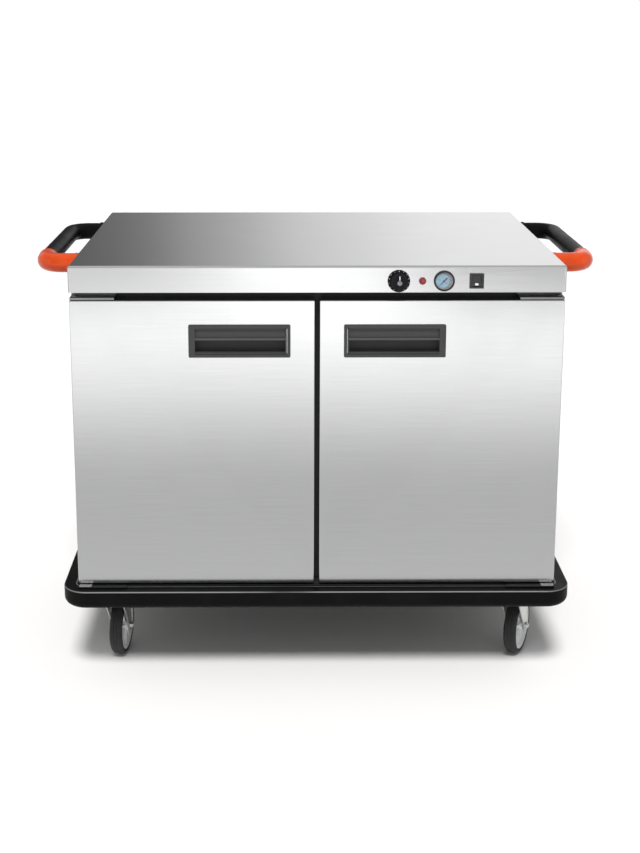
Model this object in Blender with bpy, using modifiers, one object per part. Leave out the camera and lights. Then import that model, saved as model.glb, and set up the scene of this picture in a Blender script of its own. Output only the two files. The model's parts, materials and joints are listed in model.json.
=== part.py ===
"""Mobile two-door food holding cabinet, in metres.

+X is the operator's right, +Y the back, +Z up; the origin is on the floor below the centre.
A moving piece's origin, or its parent empty, lies on its joint's axis.
"""

import math

import bmesh
import bpy
from mathutils import Euler, Matrix, Vector

# Body
HALF_WIDTH = 0.500
HALF_DEPTH = 0.350
TOP_Z = 0.890
SKIRT_Z = 0.8355
GAP = 0.0003
SKIN = 0.0015
PANEL_LOW, PANEL_HIGH = 0.2095, 0.8350
RETURN = 0.0195
ROOF_LOW, ROOF_HIGH = 0.8310, 0.8325

# Chassis and bumper
CHASSIS_LOW, CHASSIS_HIGH = 0.1665, 0.2070
CHASSIS_CORNER = 0.018
CHASSIS_SHEET = 0.0025
RAIL_X = 0.490
RAIL_LOW = 0.1625
RAIL_HALF_WIDTH = 0.030
BUMPER_PROUD = 0.031
BUMPER_CORNER = 0.050
BUMPER_ROUND = 0.016

# Door opening frame and hot cavity
FRAME_X = 0.498
FRAME_FRONT, FRAME_BACK = -0.3117, -0.3000
FRAME_SHEET = 0.002
BAY_INNER, BAY_OUTER = 0.020, 0.452
BAY_LOW, BAY_HIGH = 0.255, 0.795
LINER_X, LINER_BACK = 0.456, 0.310
LINER_LOW, LINER_HIGH = 0.250, 0.800
LINER_FRONT = -0.3092
SHELF_LEVELS = {"lower": 0.455, "upper": 0.625}
SHELF_INNER, SHELF_OUTER = 0.0125, 0.4515
SHELF_Y, SHELF_THICK = 0.290, 0.005
SLOT_ROWS, SLOT_PITCH, SLOT_BAR = 9, 0.047, 0.006
RUNNER_WIDTH, RUNNER_HEIGHT, RUNNER_Y = 0.014, 0.006, 0.280
PARTITION_X = 0.010
PARTITION_LOW = 0.2860
COVER_X, COVER_Y, COVER_HIGH = 0.445, 0.250, 0.2855
ELEMENT_RADIUS, ELEMENT_Z = 0.0042, 0.268
ELEMENT_PASSES = (-0.150, -0.050, 0.050, 0.150)
ELEMENT_REACH = 0.370

# Doors
DOOR_FRONT, DOOR_BACK = -0.3500, -0.3183
DOOR_INNER_X, DOOR_OUTER_X = 0.0050, 0.4985
DOOR_LOW, DOOR_HIGH = 0.2122, 0.8190
DOOR_SHEET = 0.0012
HINGE_X, HINGE_Y = 0.4880, -0.3340
PIN_RADIUS = 0.0040
PULL_X, PULL_Z = 0.1570, 0.7355
PULL_HALF = (0.1030, 0.0340)

# Side handles
HANDLE_X, HANDLE_Y, HANDLE_Z = 0.572, 0.200, 0.868
HANDLE_BEND = 0.040
BAR_RADIUS, ELBOW_RADIUS = 0.019, 0.021

# Controls on the fascia
CONTROL_Z = 0.859
KNOB_X, LAMP_X, DIAL_X, SWITCH_X = 0.163, 0.2105, 0.254, 0.319
ROCKER_PIVOT_Y = -0.3475
ROCKER_REST = math.radians(-7)
INLET_X, INLET_Z = -0.380, 0.862

# Casters
CASTER_X, CASTER_Y = 0.430, 0.265
TRAIL = 0.035
WHEEL_RADIUS = 0.0625
HUB_RADIUS = 0.0520
TYRE_HALF, LEG_INNER, LEG_OUTER = 0.014, 0.0175, 0.0205
CROWN_LOW, CROWN_HIGH = 0.1400, 0.1495
AXLE_RADIUS = 0.004
PEDAL_PIVOT = (0.062, 0.128)
CASTERS = {  # name: (side in x, side in y, resting swivel angle in degrees)
    "front_left": (-1, -1, -7),
    "front_right": (1, -1, -25),
    "rear_left": (-1, 1, 12),
    "rear_right": (1, 1, -9),
}

FINISHES = {  # name: (colour, metallic, roughness)
    "stainless": ((0.62, 0.62, 0.61), 1.0, 0.32),
    "liner_steel": ((0.66, 0.66, 0.65), 1.0, 0.38),
    "chassis_paint": ((0.03, 0.03, 0.03), 0.0, 0.5),
    "bumper_rubber": ((0.008, 0.008, 0.009), 0.0, 0.45),
    "insulation": ((0.72, 0.66, 0.42), 0.0, 0.95),
    "zinc": ((0.70, 0.70, 0.69), 1.0, 0.35),
    "heater": ((0.20, 0.18, 0.17), 1.0, 0.45),
    "black_plastic": ((0.012, 0.012, 0.013), 0.0, 0.4),
    "orange_plastic": ((0.85, 0.12, 0.03), 0.0, 0.35),
    "lamp_red": ((0.45, 0.02, 0.03), 0.0, 0.2),
    "dial_white": ((0.55, 0.70, 0.78), 0.0, 0.4),
    "lens": ((0.75, 0.86, 0.92), 0.0, 0.05),
    "gasket_rubber": ((0.04, 0.04, 0.04), 0.0, 0.7),
    "tyre_rubber": ((0.02, 0.02, 0.02), 0.0, 0.65),
    "hub_grey": ((0.42, 0.43, 0.44), 0.0, 0.4),
    "pedal_black": ((0.03, 0.03, 0.03), 0.0, 0.5),
}


# ---------------------------------------------------------------- scene and helpers


def clear_scene():
    for obj in list(bpy.data.objects):
        bpy.data.objects.remove(obj, do_unlink=True)


def new_collection(name):
    collection = bpy.data.collections.new(name)
    bpy.context.scene.collection.children.link(collection)
    return collection


def new_material(name, colour, metallic, roughness):
    material = bpy.data.materials.new(name)
    material.use_nodes = True
    shader = material.node_tree.nodes["Principled BSDF"]
    shader.inputs["Base Color"].default_value = (*colour, 1.0)
    shader.inputs["Metallic"].default_value = metallic
    shader.inputs["Roughness"].default_value = roughness
    return material


clear_scene()
PARTS = new_collection("food_holding_cabinet")
CUTTERS = new_collection("cutters")
MATERIALS = {name: new_material(name, *values) for name, values in FINISHES.items()}


def add(name, data, finish=None, location=(0, 0, 0), rotation=(0, 0, 0), parent=None):
    """A part when it has a finish, and otherwise a helper for a Boolean."""
    obj = bpy.data.objects.new(name, data)
    obj.location = location
    obj.rotation_euler = rotation
    obj.parent = parent
    if finish:
        PARTS.objects.link(obj)
        data.materials.append(MATERIALS[finish])
    else:
        CUTTERS.objects.link(obj)
        obj.hide_render = True
        obj.display_type = "WIRE"
    return obj


def empty(name, location, rotation=(0, 0, 0)):
    obj = bpy.data.objects.new(name, None)
    obj.location = location
    obj.rotation_euler = rotation
    PARTS.objects.link(obj)
    return obj


def mesh_from(name, bm):
    mesh = bpy.data.meshes.new(name)
    bm.to_mesh(mesh)
    bm.free()
    return mesh


def add_cube(bm, low, high):
    low, high = Vector(low), Vector(high)
    scale = Matrix.Diagonal((*(high - low), 1))
    return bmesh.ops.create_cube(bm, size=1, matrix=Matrix.Translation((low + high) / 2) @ scale)


def box(name, low, high, finish=None, parent=None):
    """A box between two corners, with its origin at its centre."""
    centre = (Vector(low) + Vector(high)) / 2
    bm = bmesh.new()
    add_cube(bm, Vector(low) - centre, Vector(high) - centre)
    return add(name, mesh_from(name, bm), finish, centre, parent=parent)


def boxes(name, corners):
    """A helper of several separate boxes."""
    bm = bmesh.new()
    for low, high in corners:
        add_cube(bm, low, high)
    return add(name, mesh_from(name, bm))


def rod(name, start, end, radius, sides=24, parent=None):
    """A helper: a round bar between two points."""
    start, end = Vector(start), Vector(end)
    along = end - start
    bm = bmesh.new()
    turn = along.to_track_quat("Z", "Y").to_matrix().to_4x4()
    bmesh.ops.create_cone(
        bm, cap_ends=True, segments=sides, radius1=radius, radius2=radius,
        depth=along.length, matrix=turn,
    )
    return add(name, mesh_from(name, bm), location=(start + end) / 2, parent=parent)


def pan(name, low, high, missing, thickness, finish=None, fold=0.0, steps=2):
    """Folded sheet: a box without its missing sides, such as "-Z", thickened inwards."""
    centre = (Vector(low) + Vector(high)) / 2
    bm = bmesh.new()
    add_cube(bm, Vector(low) - centre, Vector(high) - centre)
    bm.normal_update()
    gone = []
    for face in bm.faces:
        axis = max(range(3), key=lambda i: abs(face.normal[i]))
        if ("-" if face.normal[axis] < 0 else "+") + "XYZ"[axis] in missing:
            gone.append(face)
    bmesh.ops.delete(bm, geom=gone, context="FACES")
    if fold:
        folds = [edge for edge in bm.edges if len(edge.link_faces) == 2]
        bmesh.ops.bevel(bm, geom=folds, offset=fold, segments=steps, profile=0.5, affect="EDGES")
    obj = add(name, mesh_from(name, bm), finish, centre)
    sheet = obj.modifiers.new("sheet", "SOLIDIFY")
    sheet.thickness = thickness
    sheet.offset = -1
    sheet.use_even_offset = True
    return obj


def turned(name, profile, finish=None, location=(0, 0, 0), rotation=(0, 0, 0), ring=False,
           steps=32, parent=None):
    """A profile of (radius, height), down its outer side, turned round local Z."""
    bm = bmesh.new()
    points = [bm.verts.new((radius, 0, height)) for radius, height in profile]
    for first, second in zip(points, points[1:] + points[:1] if ring else points[1:]):
        bm.edges.new((first, second))
    obj = add(name, mesh_from(name, bm), finish, location, rotation, parent)
    screw = obj.modifiers.new("turn", "SCREW")
    screw.steps = screw.render_steps = steps
    screw.use_merge_vertices = True
    screw.merge_threshold = 0.00001
    return obj


def tube(name, points, radius, finish, rounds=4):
    curve = bpy.data.curves.new(name, "CURVE")
    curve.dimensions = "3D"
    curve.bevel_depth = radius
    curve.bevel_resolution = rounds
    curve.use_fill_caps = True
    spline = curve.splines.new("POLY")
    spline.points.add(len(points) - 1)
    for point, place in zip(spline.points, points):
        point.co = (*place, 1)
    return add(name, curve, finish)


def outline_mesh(name, outline, thickness, location, rotation, parent, finish=None):
    """A flat outline with a thickness, as a mesh that a Boolean can use."""
    curve = bpy.data.curves.new(name, "CURVE")
    curve.dimensions = "2D"
    curve.fill_mode = "BOTH"
    curve.extrude = thickness / 2
    spline = curve.splines.new("POLY")
    spline.use_cyclic_u = True
    spline.points.add(len(outline) - 1)
    for point, (across, up) in zip(spline.points, outline):
        point.co = (across, up, 0, 1)
    source = bpy.data.objects.new(name, curve)
    bpy.context.scene.collection.objects.link(source)
    bpy.context.view_layer.update()
    graph = bpy.context.evaluated_depsgraph_get()
    mesh = bpy.data.meshes.new_from_object(source.evaluated_get(graph))
    bpy.data.objects.remove(source)
    bm = bmesh.new()
    bm.from_mesh(mesh)
    bmesh.ops.remove_doubles(bm, verts=bm.verts, dist=0.00001)
    bmesh.ops.recalc_face_normals(bm, faces=bm.faces)
    bm.to_mesh(mesh)
    bm.free()
    return add(name, mesh, finish, location, rotation, parent)


def boolean(obj, operation, other):
    modifier = obj.modifiers.new(other.name, "BOOLEAN")
    modifier.operation = operation
    modifier.solver = "EXACT"
    modifier.object = other


def cut(obj, *others):
    for other in others:
        boolean(obj, "DIFFERENCE", other)


def join(obj, *others):
    for other in others:
        boolean(obj, "UNION", other)


def arc(centre, radius, start, end, steps):
    """Points on an arc, in degrees, as pairs."""
    for i in range(steps + 1):
        angle = math.radians(start + (end - start) * i / steps)
        yield centre[0] + radius * math.cos(angle), centre[1] + radius * math.sin(angle)


def rounded_block(name, half_x, half_y, low, high, corner, rim=0.0, finish=None, steps=6):
    """A block with rounded upright corners and, with a rim, rounded top and bottom edges."""
    bm = bmesh.new()
    middle = (low + high) / 2
    add_cube(bm, (-half_x, -half_y, low - middle), (half_x, half_y, high - middle))
    upright = [e for e in bm.edges if abs(e.verts[0].co.z - e.verts[1].co.z) > 0.001]
    bmesh.ops.bevel(bm, geom=upright, offset=corner, segments=steps, profile=0.5, affect="EDGES")
    if rim:
        level = [e for e in bm.edges if abs(e.verts[0].co.z - e.verts[1].co.z) < 0.0001]
        bmesh.ops.bevel(bm, geom=level, offset=rim, segments=4, profile=0.5, affect="EDGES")
    return add(name, mesh_from(name, bm), finish, (0, 0, middle))


# ---------------------------------------------------------------- chassis and bumper


def build_chassis():
    frame = rounded_block("chassis_frame", HALF_WIDTH - 0.001, HALF_DEPTH - 0.001, CHASSIS_LOW,
                          CHASSIS_HIGH, CHASSIS_CORNER, finish="chassis_paint", steps=4)
    inside = CHASSIS_HIGH - CHASSIS_SHEET
    cut(frame, rounded_block("chassis_hollow", HALF_WIDTH - 0.001 - CHASSIS_SHEET,
                             HALF_DEPTH - 0.001 - CHASSIS_SHEET, CHASSIS_LOW - 0.01, inside,
                             CHASSIS_CORNER - CHASSIS_SHEET, steps=4))
    for side, word in ((-1, "front"), (1, "rear")):
        low = (-RAIL_X, side * CASTER_Y - RAIL_HALF_WIDTH, RAIL_LOW)
        high = (RAIL_X, side * CASTER_Y + RAIL_HALF_WIDTH, inside + 0.001)
        join(frame, pan(f"rail_{word}", low, high, ("+Z", "-X", "+X"), 0.003))


def build_bumper():
    proud = BUMPER_PROUD
    bumper = rounded_block("bumper_ring", HALF_WIDTH + proud, HALF_DEPTH + proud, CHASSIS_LOW,
                           CHASSIS_HIGH, BUMPER_CORNER, rim=BUMPER_ROUND, finish="bumper_rubber")
    cut(bumper, rounded_block("bumper_hollow", HALF_WIDTH - 0.0005, HALF_DEPTH - 0.0005,
                              CHASSIS_LOW - 0.01, CHASSIS_HIGH + 0.01, CHASSIS_CORNER, steps=4))


# ---------------------------------------------------------------- body


def build_skins():
    inner = HALF_WIDTH - RETURN
    pan("left_side_panel", (-HALF_WIDTH, FRAME_FRONT, PANEL_LOW),
        (-inner, HALF_DEPTH, PANEL_HIGH), ("+X", "-Y", "+Z", "-Z"), SKIN, "stainless", 0.003)
    pan("right_side_panel", (inner, FRAME_FRONT, PANEL_LOW),
        (HALF_WIDTH, HALF_DEPTH, PANEL_HIGH), ("-X", "-Y", "+Z", "-Z"), SKIN, "stainless", 0.003)
    box("back_panel", (-inner + 0.0005, HALF_DEPTH - SKIN, PANEL_LOW),
        (inner - 0.0005, HALF_DEPTH, PANEL_HIGH), "stainless")
    box("roof_panel", (-FRAME_X, FRAME_BACK + 0.0005, ROOF_LOW),
        (FRAME_X, HALF_DEPTH - 0.002, ROOF_HIGH), "stainless")


def build_face_frame():
    frame = pan("face_frame", (-FRAME_X, FRAME_FRONT, PANEL_LOW + 0.0005),
                (FRAME_X, FRAME_BACK, PANEL_HIGH - 0.0005), ("+Y",), FRAME_SHEET, "chassis_paint")
    bays = []
    for side in (-1, 1):
        ends = sorted((side * BAY_INNER, side * BAY_OUTER))
        bays.append(((ends[0], -0.35, BAY_LOW), (ends[1], -0.25, BAY_HIGH)))
    cut(frame, boxes("bay_openings", bays))


def runners(name, wall_x, towards):
    """Two shelf runners on an upright wall at wall_x, standing out towards -1 or 1."""
    corners = []
    for level in SHELF_LEVELS.values():
        ends = sorted((wall_x - towards * SKIN / 2, wall_x + towards * RUNNER_WIDTH))
        corners.append(((ends[0], -RUNNER_Y, level - RUNNER_HEIGHT - GAP),
                        (ends[1], RUNNER_Y, level - GAP)))
    return boxes(name, corners)


def build_cavity():
    liner = pan("inner_liner", (-LINER_X, LINER_FRONT, LINER_LOW),
                (LINER_X, LINER_BACK, LINER_HIGH), ("-Y",), SKIN, "liner_steel", 0.006)
    for side, word in ((-1, "left"), (1, "right")):
        join(liner, runners(f"{word}_runners", side * (LINER_X - SKIN), -side))
    for y in (ELEMENT_PASSES[0], ELEMENT_PASSES[-1]):
        cut(liner, rod(f"element_hole_{y}", (LINER_X - 0.05, y, ELEMENT_Z),
                       (LINER_X + 0.05, y, ELEMENT_Z), ELEMENT_RADIUS + 0.0007))

    partition = pan("centre_partition", (-PARTITION_X, -0.300, PARTITION_LOW),
                    (PARTITION_X, 0.305, LINER_HIGH - SKIN - 0.0005),
                    ("+Y", "+Z", "-Z"), SKIN, "liner_steel")
    for side, word in ((-1, "left"), (1, "right")):
        join(partition, runners(f"partition_{word}_runners", side * PARTITION_X, side))

    jacket = box("insulation_jacket", (-0.4975, FRAME_BACK + 0.0005, 0.2110),
                 (0.4975, HALF_DEPTH - 0.002, ROOF_LOW - 0.0005), "insulation")
    cut(jacket, box("jacket_hollow", (-LINER_X - 0.002, -0.40, LINER_LOW - 0.002),
                    (LINER_X + 0.002, LINER_BACK + 0.002, LINER_HIGH + 0.002)))


def build_shelves():
    edge = SLOT_BAR
    for side, side_word in ((-1, "left"), (1, "right")):
        low_x, high_x = sorted((side * SHELF_INNER, side * SHELF_OUTER))
        middle = (low_x + high_x) / 2
        for word, level in SHELF_LEVELS.items():
            name = f"{side_word}_shelf_{word}"
            shelf = box(name, (low_x, -SHELF_Y, level), (high_x, SHELF_Y, level + SHELF_THICK),
                        "zinc")
            slots = []
            for i in range(SLOT_ROWS):
                x = middle + (i - (SLOT_ROWS - 1) / 2) * SLOT_PITCH
                half = (SLOT_PITCH - SLOT_BAR) / 2
                for low_y, high_y in ((edge - SHELF_Y, -edge / 2), (edge / 2, SHELF_Y - edge)):
                    slots.append(((x - half, low_y, level - 0.01),
                                  (x + half, high_y, level + 0.01)))
            cut(shelf, boxes(f"{name}_slots", slots))


def build_heater():
    passes, height = ELEMENT_PASSES, ELEMENT_Z
    radius = (passes[1] - passes[0]) / 2
    points = [(LINER_X + 0.0012, passes[0], height)]
    for i, (first, second) in enumerate(zip(passes, passes[1:])):
        side = -1 if i % 2 == 0 else 1
        start, end = (-90, -270) if side < 0 else (-90, 90)
        centre = (side * ELEMENT_REACH, (first + second) / 2)
        points += [(x, y, height) for x, y in arc(centre, radius, start, end, 8)]
    points.append((LINER_X + 0.0012, passes[-1], height))
    tube("heating_element", points, ELEMENT_RADIUS, "heater", rounds=2)

    cover = pan("heater_cover", (-COVER_X, -COVER_Y, LINER_LOW + SKIN + GAP),
                (COVER_X, COVER_Y, COVER_HIGH), ("-Z",), SKIN, "liner_steel")
    notches = [((COVER_X - 0.01, y - 0.006, 0.24), (COVER_X + 0.01, y + 0.006, 0.275))
               for y in (passes[0], passes[-1])]
    slots = [((x - 0.004, side * 0.125 - 0.09, 0.27), (x + 0.004, side * 0.125 + 0.09, 0.30))
             for side in (-1, 1) for x in (-0.35, -0.25, -0.15, 0.15, 0.25, 0.35)]
    cut(cover, boxes("cover_notches", notches), boxes("cover_slots", slots))


def build_worktop():
    worktop = pan("worktop", (-HALF_WIDTH, -HALF_DEPTH, SKIRT_Z), (HALF_WIDTH, HALF_DEPTH, TOP_Z),
                  ("-Z",), SKIN, "stainless", 0.005, 3)
    front, behind = -0.36, -0.34
    for name, x, radius in (("shaft_hole", KNOB_X, 0.0055), ("lamp_hole", LAMP_X, 0.0058),
                            ("dial_hole", DIAL_X, 0.0192)):
        cut(worktop, rod(name, (x, front, CONTROL_Z), (x, behind, CONTROL_Z), radius))
    cut(worktop, box("switch_hole", (SWITCH_X - 0.0122, front, CONTROL_Z - 0.0134),
                     (SWITCH_X + 0.0122, behind, CONTROL_Z + 0.0134)),
        box("inlet_hole", (INLET_X - 0.0142, 0.34, INLET_Z - 0.0104),
            (INLET_X + 0.0142, 0.36, INLET_Z + 0.0104)))


# ---------------------------------------------------------------- side handles


def build_handles():
    """Each handle is a bar with its rear bend, and a thicker front elbow that it plugs into."""
    for side, word in ((-1, "left"), (1, "right")):
        wall = side * (HALF_WIDTH + GAP)
        reach = HANDLE_X - HANDLE_BEND
        turn = HANDLE_Y - HANDLE_BEND
        joint_y = -turn + 0.016
        rear = [(side * x, y, HANDLE_Z) for x, y in arc((reach, turn), HANDLE_BEND, 0, 90, 6)]
        front = [(side * x, y, HANDLE_Z) for x, y in arc((reach, -turn), HANDLE_BEND, -90, 0, 6)]
        bar = [(side * HANDLE_X, joint_y + GAP, HANDLE_Z), *rear, (wall, HANDLE_Y, HANDLE_Z)]
        elbow = [(wall, -HANDLE_Y, HANDLE_Z), *front, (side * HANDLE_X, joint_y, HANDLE_Z)]
        tube(f"{word}_handle_bar", bar, BAR_RADIUS, "black_plastic", rounds=6)
        tube(f"{word}_handle_elbow", elbow, ELBOW_RADIUS, "orange_plastic", rounds=6)


# ---------------------------------------------------------------- controls

FACING_FRONT = (math.pi / 2, 0, 0)  # local +Z points out of the fascia
OUTWARD_SIDE = (math.pi / 2, 0, -math.pi / 2)  # local +X points out of the fascia, +Y up


def build_controls():
    body = box("thermostat_body", (KNOB_X - 0.019, -0.3480, CONTROL_Z - 0.021),
               (KNOB_X + 0.019, -0.3160, CONTROL_Z + 0.021), "black_plastic")
    join(body, rod("bush", (KNOB_X, -0.3470, CONTROL_Z), (KNOB_X, -0.3502, CONTROL_Z), 0.0045),
         rod("shaft", (KNOB_X, -0.3470, CONTROL_Z), (KNOB_X, -0.3635, CONTROL_Z), 0.0030))

    at_knob = (KNOB_X, -HALF_DEPTH, CONTROL_Z)
    knob = turned("thermostat_knob", [(0, 0.0200), (0.0160, 0.0200), (0.0175, 0.0185),
                                      (0.0185, 0.0040), (0.0225, 0.0030), (0.0225, 0.0006),
                                      (0.0033, 0.0006), (0.0033, 0.0140), (0, 0.0140)],
                  "black_plastic", at_knob, FACING_FRONT, steps=24)
    join(knob, box("knob_ridge", (KNOB_X - 0.003, -0.3740, CONTROL_Z - 0.0150),
                   (KNOB_X + 0.003, -0.3680, CONTROL_Z + 0.0150)))

    turned("pilot_lamp", [(0, 0.0065), (0.0035, 0.0060), (0.0058, 0.0035), (0.0075, 0.0025),
                          (0.0075, 0.0004), (0.0052, 0.0004), (0.0052, -0.0220), (0, -0.0220)],
           "lamp_red", (LAMP_X, -HALF_DEPTH, CONTROL_Z), FACING_FRONT, steps=24)

    at_dial = (DIAL_X, -HALF_DEPTH, CONTROL_Z)
    turned("thermometer_case", [(0, 0.0012), (0.0008, 0.0012), (0.0008, -0.0010),
                                (0.0178, -0.0010), (0.0178, 0.0045), (0.0198, 0.0045),
                                (0.0210, 0.0030), (0.0210, 0.0004), (0.0188, 0.0004),
                                (0.0188, -0.0200), (0, -0.0200)],
           "dial_white", at_dial, FACING_FRONT, steps=24)
    turned("thermometer_lens", [(0, 0.0034), (0.0175, 0.0034), (0.0175, 0.0022), (0, 0.0022)],
           "lens", at_dial, FACING_FRONT)
    needle = turned("thermometer_needle", [(0.0024, 0.0006), (0.0024, -0.0004),
                                           (0.0011, -0.0004), (0.0011, 0.0006)],
                    "black_plastic", at_dial, FACING_FRONT, ring=True, steps=16)
    pointer = boxes("pointer", [((-0.0150, -0.0005, -0.0002), (-0.0018, 0.0005, 0.0004)),
                                ((0.0018, -0.0009, -0.0002), (0.0080, 0.0009, 0.0004))])
    pointer.location = at_dial
    pointer.rotation_euler = (Matrix.Rotation(math.pi / 2, 3, "X")
                              @ Matrix.Rotation(math.radians(45), 3, "Z")).to_euler()
    join(needle, pointer)


def build_switch():
    z = CONTROL_Z
    switch = box("switch_body", (SWITCH_X - 0.0145, -0.3523, z - 0.0155),
                 (SWITCH_X + 0.0145, -0.3504, z + 0.0155), "black_plastic")
    join(switch, box("switch_barrel", (SWITCH_X - 0.0118, -0.3510, z - 0.0130),
                     (SWITCH_X + 0.0118, -0.3260, z + 0.0130)))
    cut(switch, box("switch_recess", (SWITCH_X - 0.0100, -0.3600, z - 0.0117),
                    (SWITCH_X + 0.0100, -0.3380, z + 0.0117)))
    # each point is (out of the fascia, up) from the pivot
    outline = [(0.0048, -0.0105), (0.0022, 0), (0.0048, 0.0105), (-0.0020, 0.0100),
               (-0.0075, 0), (-0.0020, -0.0100)]
    tilted = Matrix.Rotation(ROCKER_REST, 3, "X") @ Euler(OUTWARD_SIDE).to_matrix()
    outline_mesh("switch_rocker", outline, 0.0194, (SWITCH_X, ROCKER_PIVOT_Y, z),
                 tilted.to_euler(), None, "black_plastic")


def build_inlet():
    inlet = box("power_inlet", (INLET_X - 0.0240, 0.3504, INLET_Z - 0.0125),
                (INLET_X + 0.0240, 0.3534, INLET_Z + 0.0125), "black_plastic")
    join(inlet, box("inlet_barrel", (INLET_X - 0.0138, 0.3300, INLET_Z - 0.0100),
                    (INLET_X + 0.0138, 0.3520, INLET_Z + 0.0100)))
    cut(inlet, box("inlet_socket", (INLET_X - 0.0122, 0.3330, INLET_Z - 0.0083),
                   (INLET_X + 0.0122, 0.3600, INLET_Z + 0.0083)))


# ---------------------------------------------------------------- doors and hinges


def build_door(side, word):
    """One door; side is -1 for the left and 1 for the right."""
    axis = empty(f"{word}_door_axis", (side * HINGE_X, HINGE_Y, 0))

    def on_axis(obj):
        obj.parent = axis
        obj.location -= axis.location
        return obj

    def span(inner, outer):
        return sorted((side * inner, side * outer))

    low_x, high_x = span(DOOR_INNER_X, DOOR_OUTER_X)
    skin = on_axis(pan(f"{word}_door_skin", (low_x, DOOR_FRONT, DOOR_LOW),
                       (high_x, DOOR_BACK, DOOR_HIGH), ("+Y",), DOOR_SHEET, "stainless", 0.002))
    hole_low, hole_high = span(PULL_X - 0.0958, PULL_X + 0.0958)
    cut(skin, box(f"{word}_pull_hole", (hole_low, -0.36, PULL_Z - 0.0273),
                  (hole_high, -0.34, PULL_Z + 0.0273)))
    for end, z in (("top", DOOR_HIGH), ("bottom", DOOR_LOW)):
        cut(skin, rod(f"{word}_{end}_pin_hole", (side * HINGE_X, HINGE_Y, z - 0.005),
                      (side * HINGE_X, HINGE_Y, z + 0.005), PIN_RADIUS + 0.0003))

    low_x, high_x = span(DOOR_INNER_X + 0.0025, DOOR_OUTER_X - 0.0025)
    on_axis(pan(f"{word}_door_inner", (low_x, DOOR_BACK - 0.0092, DOOR_LOW + 0.0025),
                (high_x, DOOR_BACK, DOOR_HIGH - 0.0025), ("-Y",), DOOR_SHEET, "liner_steel"))

    low_x, high_x = span(DOOR_INNER_X + 0.0015, 0.4700)
    gasket = on_axis(box(f"{word}_door_gasket", (low_x, DOOR_BACK + 0.0005, 0.2350),
                         (high_x, FRAME_FRONT - 0.0007, 0.8120), "gasket_rubber"))
    width = 0.011
    cut(gasket, on_axis(box(f"{word}_gasket_hollow", (low_x + width, -0.33, 0.2350 + width),
                            (high_x - width, -0.30, 0.8120 - width))))

    def pull_box(name, half_x, low_z, high_z, low_y, high_y, finish=None):
        x = side * PULL_X
        return on_axis(box(name, (x - half_x, low_y, PULL_Z + low_z),
                           (x + half_x, high_y, PULL_Z + high_z), finish))

    pull = pull_box(f"{word}_door_pull", PULL_HALF[0], -PULL_HALF[1], PULL_HALF[1],
                    -0.3532, -0.3504, "black_plastic")
    join(pull, pull_box(f"{word}_pull_cup", 0.0950, -0.0265, 0.0265, -0.3515, -0.3285))
    cut(pull, pull_box(f"{word}_pull_hollow", 0.0925, -0.0240, 0.0240, -0.3478, -0.3305),
        pull_box(f"{word}_pull_mouth", 0.0900, -0.0215, -0.0010, -0.3600, -0.3400))


def build_hinges(side, word):
    """Top and bottom pivot hinges: plates fixed to the body, each with the pin of its door."""

    def plate(name, reach, low, high, finish=None):
        ends = sorted((side * (HALF_WIDTH - 0.0025), side * (HALF_WIDTH - 0.0025 - reach)))
        return box(name, (ends[0], low[0], low[1]), (ends[1], high[0], high[1]), finish)

    face = FRAME_FRONT - 0.0005
    top = plate(f"{word}_hinge_top", 0.090, (DOOR_FRONT + 0.0005, 0.8203), (face, 0.8253), "zinc")
    join(top, plate(f"{word}_hinge_leg", 0.090, (face - 0.0035, 0.8230), (face, 0.8340)),
         rod(f"{word}_top_pin", (side * HINGE_X, HINGE_Y, 0.8228),
             (side * HINGE_X, HINGE_Y, 0.8085), PIN_RADIUS))
    bottom = plate(f"{word}_hinge_bottom", 0.102, (-0.3640, CHASSIS_HIGH + GAP),
                   (face, 0.2107), "zinc")
    join(bottom, rod(f"{word}_bottom_pin", (side * HINGE_X, HINGE_Y, 0.2090),
                     (side * HINGE_X, HINGE_Y, 0.2235), PIN_RADIUS))


# ---------------------------------------------------------------- casters

ACROSS = (0, math.pi / 2, 0)  # local +Z along the axle
UPRIGHT_SIDE = (math.pi / 2, 0, math.pi / 2)  # local X back, local Y up, local Z across


def leg_outline(braked):
    """Side view of a fork leg, as (distance behind the swivel axis, height)."""
    end = (TRAIL, WHEEL_RADIUS)
    outline = [(-0.022, CROWN_LOW + 0.003), (-0.020, 0.128)]
    outline += list(arc(end, 0.012, 190, 360, 6))
    if braked:
        outline += [(PEDAL_PIVOT[0] + 0.007, PEDAL_PIVOT[1] - 0.006),
                    (PEDAL_PIVOT[0] + 0.007, PEDAL_PIVOT[1] + 0.006)]
    outline += [(0.028, CROWN_LOW + 0.003)]
    return outline


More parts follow.
